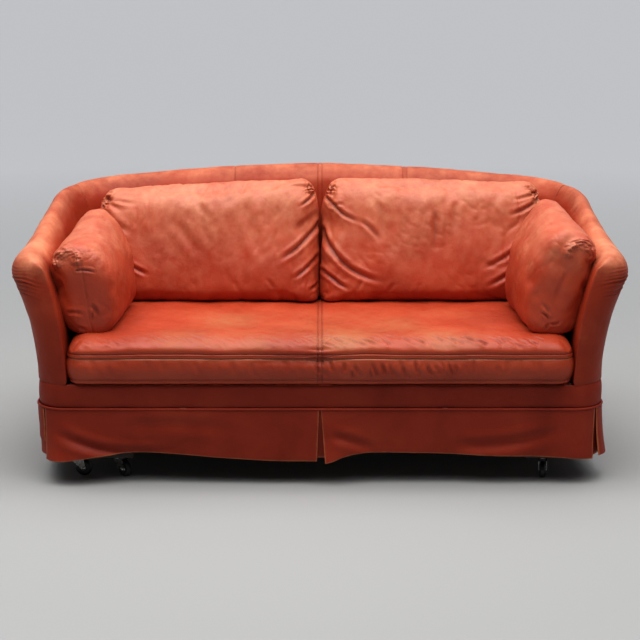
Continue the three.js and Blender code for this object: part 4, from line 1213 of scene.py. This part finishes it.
def seat_form(q, side_row):
    """The seat's lattice in its real form. Corners are bent from square to round in plan, rows up the
    boxing take their stand-off and height from SIDE_ROWS, and the top is a dome over both directions."""
    half = SEAT_SIZE[:2] / 2
    xy = q[:, :2] * half
    r = np.where(q[:, 1] < 0, FRONT_R, REAR_R)
    over = np.maximum(np.abs(xy) - (half - r[:, None]), 0)
    corner = (over > 0).all(1)
    big, small = over.max(1), over.min(1)
    angle = np.pi / 4 * np.divide(small, big, out=np.zeros_like(big), where=big > 0)
    angle = np.where(over[:, 0] >= over[:, 1], angle, np.pi / 2 - angle)
    way = np.stack([np.cos(angle), np.sin(angle)], -1)
    inner = np.where(corner[:, None], half - r[:, None], np.abs(xy))
    bent = np.where(corner[:, None], inner + big[:, None] * way, np.abs(xy))
    edge_way = np.where(corner[:, None], way, (np.abs(q[:, :2]) >= 1) * 1.0)
    on_side = (np.abs(q[:, :2]) >= 1).any(1)
    row = np.clip(side_row, 0, len(SIDE_ROWS) - 1)
    stand = np.where(on_side, SIDE_ROWS[row, 0], 0)
    plan = (bent + edge_way * stand[:, None]) * np.where(q[:, :2] < 0, -1.0, 1.0)
    e = half - np.abs(xy)
    top = SIDE_ROWS[-1, 1] + DOME * shoulder(e)
    z = np.where(on_side, SIDE_ROWS[row, 1], np.where(q[:, 2] > 0, top, SEAT_LOW[2]))
    return np.concatenate([plan + SEAT_MIDDLE[:2], z[:, None]], 1)


# %% Seat cushion
FINE_FRONT = 0.10  # the rows are closest over this much of the front
COLUMN_STEP, REAR_STEP = 0.0043, 0.0125
half_x, half_y = SEAT_SIZE[:2] / 2
seat_x = spaced(-half_x, half_x, COLUMN_STEP, (0,)) / half_x
front_part = np.linspace(-half_y, -half_y + FINE_FRONT, 30)
rear_part = spaced(-half_y + FINE_FRONT, half_y, REAR_STEP)[1:]
seat_y = np.concatenate([front_part, rear_part]) / half_y
seat_z = np.linspace(-1, 1, len(SIDE_ROWS))
lattice, quads, seat_ids = box_skin(seat_x, seat_y, seat_z)
side_row = np.rint((lattice[:, 2] + 1) / 2 * (len(SIDE_ROWS) - 1)).astype(int)
seat = add_mesh("seat_cushion", seat_form(lattice, side_row), quads)
p, n = points_of(seat), normals_of(seat)
up, ahead = smooth(n[:, 2], 0.1, 0.6), smooth(-n[:, 1], 0.5, 0.9)
x, depth = p[:, 0], p[:, 1] - SEAT_LOW[1]

seat_push = 0.0022 * waves(p, 0.24, 61) * (up + 0.6 * ahead) + 0.0005 * waves(p, 0.06, 62)
seat_push += 0.0009 * (up + 0.5 * ahead) * wrinkles(p * [1, 0.7, 1], 0.05, 68, 0.5)
hollows = bump(x + 0.32, 0.26) + 1.1 * bump(x - 0.30, 0.28)
seat_push -= 0.004 * up * hollows * smooth(depth, 0.08, 0.25)
pull = bump(x, 0.032)
groove = np.maximum(bump(np.abs(x) - SEAM_GAP, 0.0020), 0.5 * bump(x, 0.0015))
seat_push -= (up + ahead) * (0.0045 * pull + 0.0024 * groove)
seat_shade = 0.7 * groove * (up + ahead)


def slanting(count, x_range, y_range, run, seed, width, depth, slant):
    """Short creases scattered along a strip: start, end, bend, width and depth of each."""
    draw = np.random.default_rng(seed)
    made = []
    for at in np.linspace(*x_range, count):
        start = np.array([at + draw.uniform(-0.009, 0.009), draw.uniform(*y_range)])
        length = run * draw.uniform(0.6, 1.3)
        lean = slant + draw.uniform(-0.18, 0.18)
        end = start + length * np.array([np.sin(lean), np.cos(lean)])
        bend = draw.uniform(-0.15, 0.15)
        made.append((start, end, bend, width * draw.uniform(0.8, 1.3), depth * draw.uniform(0.5, 1.4)))
    return made


top_plan = np.stack([x, depth], -1)
edge_lines = slanting(46, (0.02, 0.66), (0.006, 0.030), 0.060, 63, 0.0034, 0.0032, -0.95)
edge_lines += slanting(36, (-0.68, -0.02), (0.006, 0.030), 0.050, 64, 0.0034, 0.0018, -0.9)
face_plan = np.stack([x, p[:, 2]], -1)
low_strip = (LOWER_SEAM + 0.006, LOWER_SEAM + 0.03)
box_lines = slanting(24, (0.01, 0.40), low_strip, 0.046, 65, 0.0042, 0.0040, -0.30)
box_lines += slanting(8, (0.42, 0.66), low_strip, 0.046, 66, 0.0060, 0.0022, -0.2)
box_lines += slanting(13, (-0.66, -0.04), low_strip, 0.045, 69, 0.0070, 0.0020, -0.3)
tug_places = [(0.03, 0.06, 0.035), (0.07, 0.05, -0.02), (0.12, 0.07, 0.03), (0.20, 0.06, 0.03)]
tug_places += [(0.29, 0.05, 0.02)]
tugs = [
    ((s * 0.010, at), (s * run, at + lean), 0.05, 0.0035, 0.0022, True)
    for s in (-1, 1) for at, run, lean in tug_places
]
on_top = smooth(p[:, 2], UPPER_STITCHES, UPPER_STITCHES + 0.01)
over_lower = smooth(p[:, 2], LOWER_SEAM, LOWER_SEAM + 0.008)
between = ahead * over_lower * (1 - smooth(p[:, 2], LOWER_STITCHES - 0.006, LOWER_STITCHES))
# The last number of each set is how strongly its creases are painted with shade.
folded = (
    (top_plan, edge_lines, on_top, 0.6), (face_plan, box_lines, between, 0.55), (top_plan, tugs, up, 0.6)
)
for plan, lines, where, shade_strength in folded:
    push, shade = creases(plan, lines)
    seat_push += push * where
    seat_shade = np.maximum(seat_shade, shade_strength * shade * where)
push_out(seat, seat_push)
on_side = (np.abs(lattice[:, :2]) >= 1).any(1)


def at_row(height):
    """1 on the row of the boxing nearest to a height, 0 elsewhere."""
    return on_side & (side_row == np.abs(SIDE_ROWS[:, 1] - height).argmin())


stitched = sum(at_row(height) for height in (LOWER_SEAM, LOWER_STITCHES, UPPER_STITCHES))
# The boxing below the top seam is painted darker: partly leather less faded than the top, partly painted
# shade on the upright face.
unworn_and_shaded = 0.25 * on_side * (1 - smooth(p[:, 2], LOWER_STITCHES, UPPER_STITCHES))
mark(seat, "crease", seat_shade + 0.14 * stitched + unworn_and_shaded)
piping = at_row(LOWER_STITCHES - ROW_GAP) + at_row(LOWER_STITCHES + ROW_GAP)
edge = bump(depth - 0.05, 0.06) * up
middle_wear = smooth(0.66 - np.abs(x), 0, 0.35)
patches = (0.52 + 0.16 * waves(p[:, :2], 0.26, 67)) * up * middle_wear * (1 - smooth(depth, 0.32, 0.52))
mark(seat, "wear_and_sheen", patches + 0.15 * edge + piping)
dress(seat, SEAT_LEATHER)
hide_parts("seat_cushion_cover", "seat_cushion_foam")
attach(seat, "sofa")
print(seat.name, len(seat.data.polygons), "faces")

# %% [markdown]
# ## Stitches
# Each stitch is a short thread sunk at both ends, about 5 mm long on the real seam. Drawn as a long
# octahedron it costs eight faces, so whole rows can be real geometry. They are drawn nearly 2 mm
# thick, so that they still read as a row from the camera.

# %% Stitches
STITCH_PITCH, STITCH_LENGTH, STITCH_R = 0.0075, 0.0050, 0.0009


def stitch_row(path, normal):
    """Octahedra laid along a path, evenly spaced by its running length: two ends along the path, two
    sides across it, one above and one below."""
    run = np.concatenate([[0], np.cumsum(np.linalg.norm(np.diff(path, axis=0), axis=1))])
    at = np.arange(STITCH_PITCH, run[-1] - STITCH_PITCH, STITCH_PITCH)
    centre = np.stack([np.interp(at, run, path[:, k]) for k in range(3)], -1)
    ahead = np.stack([np.interp(at + 0.001, run, path[:, k]) for k in range(3)], -1) - centre
    ahead /= np.linalg.norm(ahead, axis=1, keepdims=True)
    up = np.stack([np.interp(at, run, normal[:, k]) for k in range(3)], -1)
    across = np.cross(up, ahead)
    centre = centre + up * STITCH_R * 0.6
    corners = [ahead * STITCH_LENGTH / 2, across * STITCH_R, up * STITCH_R]
    corners += [-corner for corner in corners]
    points = np.stack([centre + corner for corner in corners], 1)
    above = [[0, 1, 2], [1, 3, 2], [3, 4, 2], [4, 0, 2]]
    below = [[1, 0, 5], [3, 1, 5], [4, 3, 5], [0, 4, 5]]
    faces = 6 * np.arange(len(at))[:, None, None] + np.array(above + below)
    return points.reshape(-1, 3), faces.reshape(-1, 3)


def stitches(name, rows, material):
    """One piece from several rows of stitches, each given as a path and its outward directions."""
    made = [stitch_row(*row) for row in rows]
    starts = np.cumsum([0] + [len(points) for points, _ in made])
    faces = np.concatenate([f + s for (_, f), s in zip(made, starts)])
    piece = add_mesh(name, np.concatenate([points for points, _ in made]), faces)
    dress(piece, material)
    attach(piece, "sofa")
    print(name, len(faces) // 8, "stitches")


def thread(name, colour):
    """Bonded polyester thread, about 0.6 mm thick: dull, with a slight sheen where it twists."""
    made, tree, shader, place = new_material(name, Roughness=0.55, Sheen_Weight=0.3)
    twist = noise(tree, place, 900.0)["Fac"]
    feed(tree, shader, Base_Color=blend(tree, twist, linear(colour), linear("#6f3324")))
    return made


THREAD = thread("seam_thread", "#451a10")
seat_points, seat_normals = points_of(seat), normals_of(seat)


def lattice_row(ids):
    """The path and outward directions along a row of the seat's vertices."""
    return seat_points[ids], seat_normals[ids]


def round_seat(k):
    """The vertex numbers right round the boxing at row k."""
    layer = seat_ids[:, :, k]
    return np.concatenate([layer[:-1, 0], layer[-1, :-1], layer[:0:-1, -1], layer[0, ::-1]])


seat_rows = []
for height in (BOXING_FOOT, LOWER_STITCHES, UPPER_STITCHES):
    seat_rows.append(lattice_row(round_seat(np.abs(SIDE_ROWS[:, 1] - height).argmin())))
for x_at in (-SEAM_GAP, SEAM_GAP):
    column = np.abs(seat_x * half_x - x_at).argmin()
    low_row = np.abs(SIDE_ROWS[:, 1] - LOWER_SEAM).argmin() + 1
    seat_rows.append(lattice_row(np.concatenate([seat_ids[column, 0, low_row:], seat_ids[column, 1:, -1]])))
stitches("seat_stitches", seat_rows, THREAD)

# %% [markdown]
# ## Hard parts
# The castors, the frame and the underside keep their own meshes. Each gets the finish of its real
# material: pressed steel with black chrome, nickel on the axles, moulded rubber, planed beech, birch
# ply, woven webbing and the thin black cloth that closes the bottom. The corner blocks are the
# exception: their beech is painted near-black, as painted shade under the skirt.

# %% Hard finishes
WAVE_REPEAT = 0.314  # metres, of a wave texture at scale 1


def plated_steel(name, bright, darker):
    """Nickel or black chrome plating on pressed steel: nearly a mirror, with a faint haze of age."""
    made, tree, shader, place = new_material(name, Metallic=1.0)
    haze = noise(tree, place, 180.0, 4.0)["Fac"]
    rough = remap(tree, haze, 0.35, 0.7, 0.16, 0.38)
    tone = blend(tree, haze, linear(bright), linear(darker))
    feed(tree, shader, Base_Color=tone, Roughness=rough)
    return made


def black_rubber():
    """Moulded black rubber on the treads: satin, greyed by dust."""
    made, tree, shader, place = new_material("black_rubber", IOR=1.52)
    dust = noise(tree, place, 90.0, 5.0)["Fac"]
    tone = blend(tree, dust, linear("#0e0e0e"), linear("#2a2927"))
    feed(tree, shader, Base_Color=tone, Roughness=remap(tree, dust, 0.3, 0.7, 0.32, 0.55))
    return made


def timber(name, pale, dark, grain_scale):
    """Planed wood: long streaks along the piece, a few millimetres apart, and no varnish."""
    made, tree, shader, place = new_material(name, Roughness=0.62, IOR=1.5)
    stretched = add_node(tree, "ShaderNodeMapping", {"Vector": place, "Scale": grain_scale})
    streaks = noise(tree, stretched.outputs[0], 1.0, 5.0, Distortion=0.6)["Fac"]
    tone = blend(tree, streaks, linear(pale), linear(dark))
    feed(tree, shader, Base_Color=tone, Normal=relief(tree, streaks, 0.15, 0.0004))
    return made


def woven(name, colour, other, pitch):
    """Plain-woven cloth: two crossed sets of threads, one pitch apart."""
    made, tree, shader, place = new_material(name, Roughness=0.85, Sheen_Weight=0.15)
    inputs = {"Vector": place, "Scale": WAVE_REPEAT / pitch}
    threads = [add_node(tree, "ShaderNodeTexWave", inputs, bands_direction=way) for way in ("X", "Y")]
    cross = maths(tree, "MULTIPLY", *(one.outputs["Fac"] for one in threads))
    tone = blend(tree, cross, linear(other), linear(colour))
    feed(tree, shader, Base_Color=tone, Normal=relief(tree, cross, 0.4, 0.0005))
    return made


FINISHES = {
    "castor_steel": plated_steel("black_chrome", "#8f8e8c", "#55534f"),
    "castor_rubber": black_rubber(),
    "beech": timber("planed_beech", "#cfa878", "#a97c4c", (4, 4, 160)),
    "plywood": timber("birch_plywood", "#d8bd92", "#bb9763", (4, 4, 60)),
    "webbing": woven("elastic_webbing", "#9a865c", "#4c3f2a", 0.003),
    "lining": woven("base_cloth", "#1d1c1b", "#0c0c0c", 0.002),
    "deck_cloth": woven("platform_cloth", "#6b3323", "#40190f", 0.0015),
    "foam": woven("felt", "#d9ccaa", "#b9ab88", 0.004),
    "feather": woven("ticking", "#e4dfd0", "#cfc8b4", 0.0015),
    "leather": COVER_LEATHER,
    "skirt_leather": SHADED_SKIRT_LEATHER,
}
BRIGHT_STEEL = plated_steel("bright_nickel", "#d2d1cd", "#a3a09a")
# Painted shade: the corner blocks, which show under the hem, get a near-black beech.
SHADE_DARK_BEECH = timber("shade_dark_beech", "#33241a", "#1d140e", (4, 4, 160))
for row in frame["record"]["subparts"]:
    shown = frame["nodes"][row["node"]]
    finish = FINISHES[row["material_slot"]]
    if row["node"].startswith("corner_"):
        finish = SHADE_DARK_BEECH
    if row["node"].endswith("_axle"):
        finish = BRIGHT_STEEL
    shown.data.materials.clear()
    shown.data.materials.append(finish)
print(len(FINISHES), "finishes on", len(frame["nodes"]), "nodes")

# %% [markdown]
# ## Hub caps
# Each wheel has a small pressed cap over the end of its axle, on both sides. A cap is a surface of
# revolution: a dome's profile carried round the axle, closed by a flat disc of triangles at the back.

# %% Hub caps
CAP_R, CAP_H, CAP_SIDES = 0.0085, 0.0030, 20
CAP_GAP = 0.0006  # between a cap and its wheel


def hub_caps(name):
    """Two domes on the ends of a castor's axle, found from the wheel's own points: a wheel is thinnest
    along its axle."""
    wheel = frame["nodes"][f"castor_{name}_wheel"]
    world = np.array(wheel.matrix_world)
    spots = points_of(wheel) @ world[:3, :3].T + world[:3, 3]
    middle = spots.mean(0)
    axle = np.linalg.svd(spots - middle, full_matrices=False)[2][2]
    upright = np.array([0, 0, 1.0])
    across = np.cross(axle, upright)
    half = np.abs((spots - middle) @ axle).max()
    turn = np.linspace(0, 2 * np.pi, CAP_SIDES, endpoint=False)
    slope = np.linspace(0, np.pi / 2, 6)[:-1]
    radius, height = CAP_R * np.cos(slope), CAP_H * np.sin(slope)
    ring = np.cos(turn)[:, None] * across + np.sin(turn)[:, None] * upright
    points, faces = [], []
    for way in (-1, 1):
        base = sum(len(part) for part in points)
        dome = radius[:, None, None] * ring + way * (half + CAP_GAP + height)[:, None, None] * axle
        ends = np.array([way * (half + CAP_GAP + CAP_H) * axle, way * (half + CAP_GAP) * axle])
        points += [dome.reshape(-1, 3), ends]
        ids = base + np.arange(dome.shape[0] * CAP_SIDES).reshape(-1, CAP_SIDES)
        ids = np.concatenate([ids, ids[:, :1]], 1)
        tip, back = base + dome.shape[0] * CAP_SIDES + np.arange(2)
        quads = grid_quads(ids)
        walls = np.concatenate([quads[:, [0, 1, 2]], quads[:, [0, 2, 3]]])
        crown = np.stack([ids[-1, :-1], np.full(CAP_SIDES, tip), ids[-1, 1:]], -1)
        disc = np.stack([ids[0, 1:], np.full(CAP_SIDES, back), ids[0, :-1]], -1)
        both = np.concatenate([walls, crown, disc])
        faces.append(both if way > 0 else both[:, ::-1])
    piece = add_mesh(f"hub_caps_{name}", np.concatenate(points) + middle, np.concatenate(faces))
    dress(piece, BRIGHT_STEEL)
    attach(piece, f"castor_{name}_roller")


for castor in ("front_left_outer", "front_left_inner", "front_right", "rear_left", "rear_right"):
    hub_caps(castor)
print("10 hub caps, radius", CAP_R)

# %% [markdown]
# ## Studio
# A pale floor runs off far beyond the sofa, so that it is its own background. Its colour is painted
# paler with distance, a painted light gradient like that on paper lit along its length. The light is a
# broad soft source overhead, a softbox above and a little in front, and the glow of a lit wall behind,
# which puts the sheen on the tops.

# %% Floor and lights
FLOOR_HALF = 120.0
corners = np.array([[-1, -1, 0], [1, -1, 0], [1, 1, 0], [-1, 1, 0]]) * FLOOR_HALF
floor = add_mesh("floor", corners, np.array([[0, 1, 2, 3]]))
paper, tree, shader, place = new_material("studio_floor", Roughness=0.75)
# Painted light: the floor is coloured darker within 1.5 m of the middle and paler out to 7 m.
away = add_node(tree, "ShaderNodeVectorMath", {0: place}, operation="LENGTH")
far = remap(tree, away.outputs["Value"], 1.5, 7.0)
feed(tree, shader, Base_Color=blend(tree, far, linear("#a6a6a5"), linear("#c5c6c9")))
dress(floor, paper)


def add_light(name, kind, place=(0, 0, 0), turn=(0, 0, 0), **settings):
    """A light with its settings, its place, and its turn in degrees about each axis."""
    data = bpy.data.lights.new(name, kind)
    for key, value in settings.items():
        setattr(data, key, value)
    light = bpy.data.objects.new(name, data)
    light.location, light.rotation_euler = place, np.radians(turn)
    bpy.context.collection.objects.link(light)
    return data


sky = add_light("ceiling", "SUN", turn=(2, 3, 0), angle=np.radians(80), energy=2.6)
softbox = add_light(
    "softbox", "AREA", (-0.2, -0.6, 2.7), shape="RECTANGLE", size=3.2, size_y=1.8, energy=62
)

world = bpy.data.worlds.new("room")
world.use_nodes = True
room = world.node_tree
direction = add_node(room, "ShaderNodeTexCoord").outputs["Generated"]
look = add_node(room, "ShaderNodeSeparateXYZ", {0: direction})
glow = room.nodes["Background"]
glow.inputs["Color"].default_value = linear("#f2f4f8")
feed(room, glow, Strength=remap(room, look.outputs["Y"], 0.0, 0.7, 0.07, 0.55))
bpy.context.scene.world = world
bpy.context.scene.view_settings.view_transform = "Standard"
bpy.context.scene.view_settings.gamma = 0.86
print("lights:", sky.energy, "W/m2 overhead and a softbox of", softbox.energy, "W")
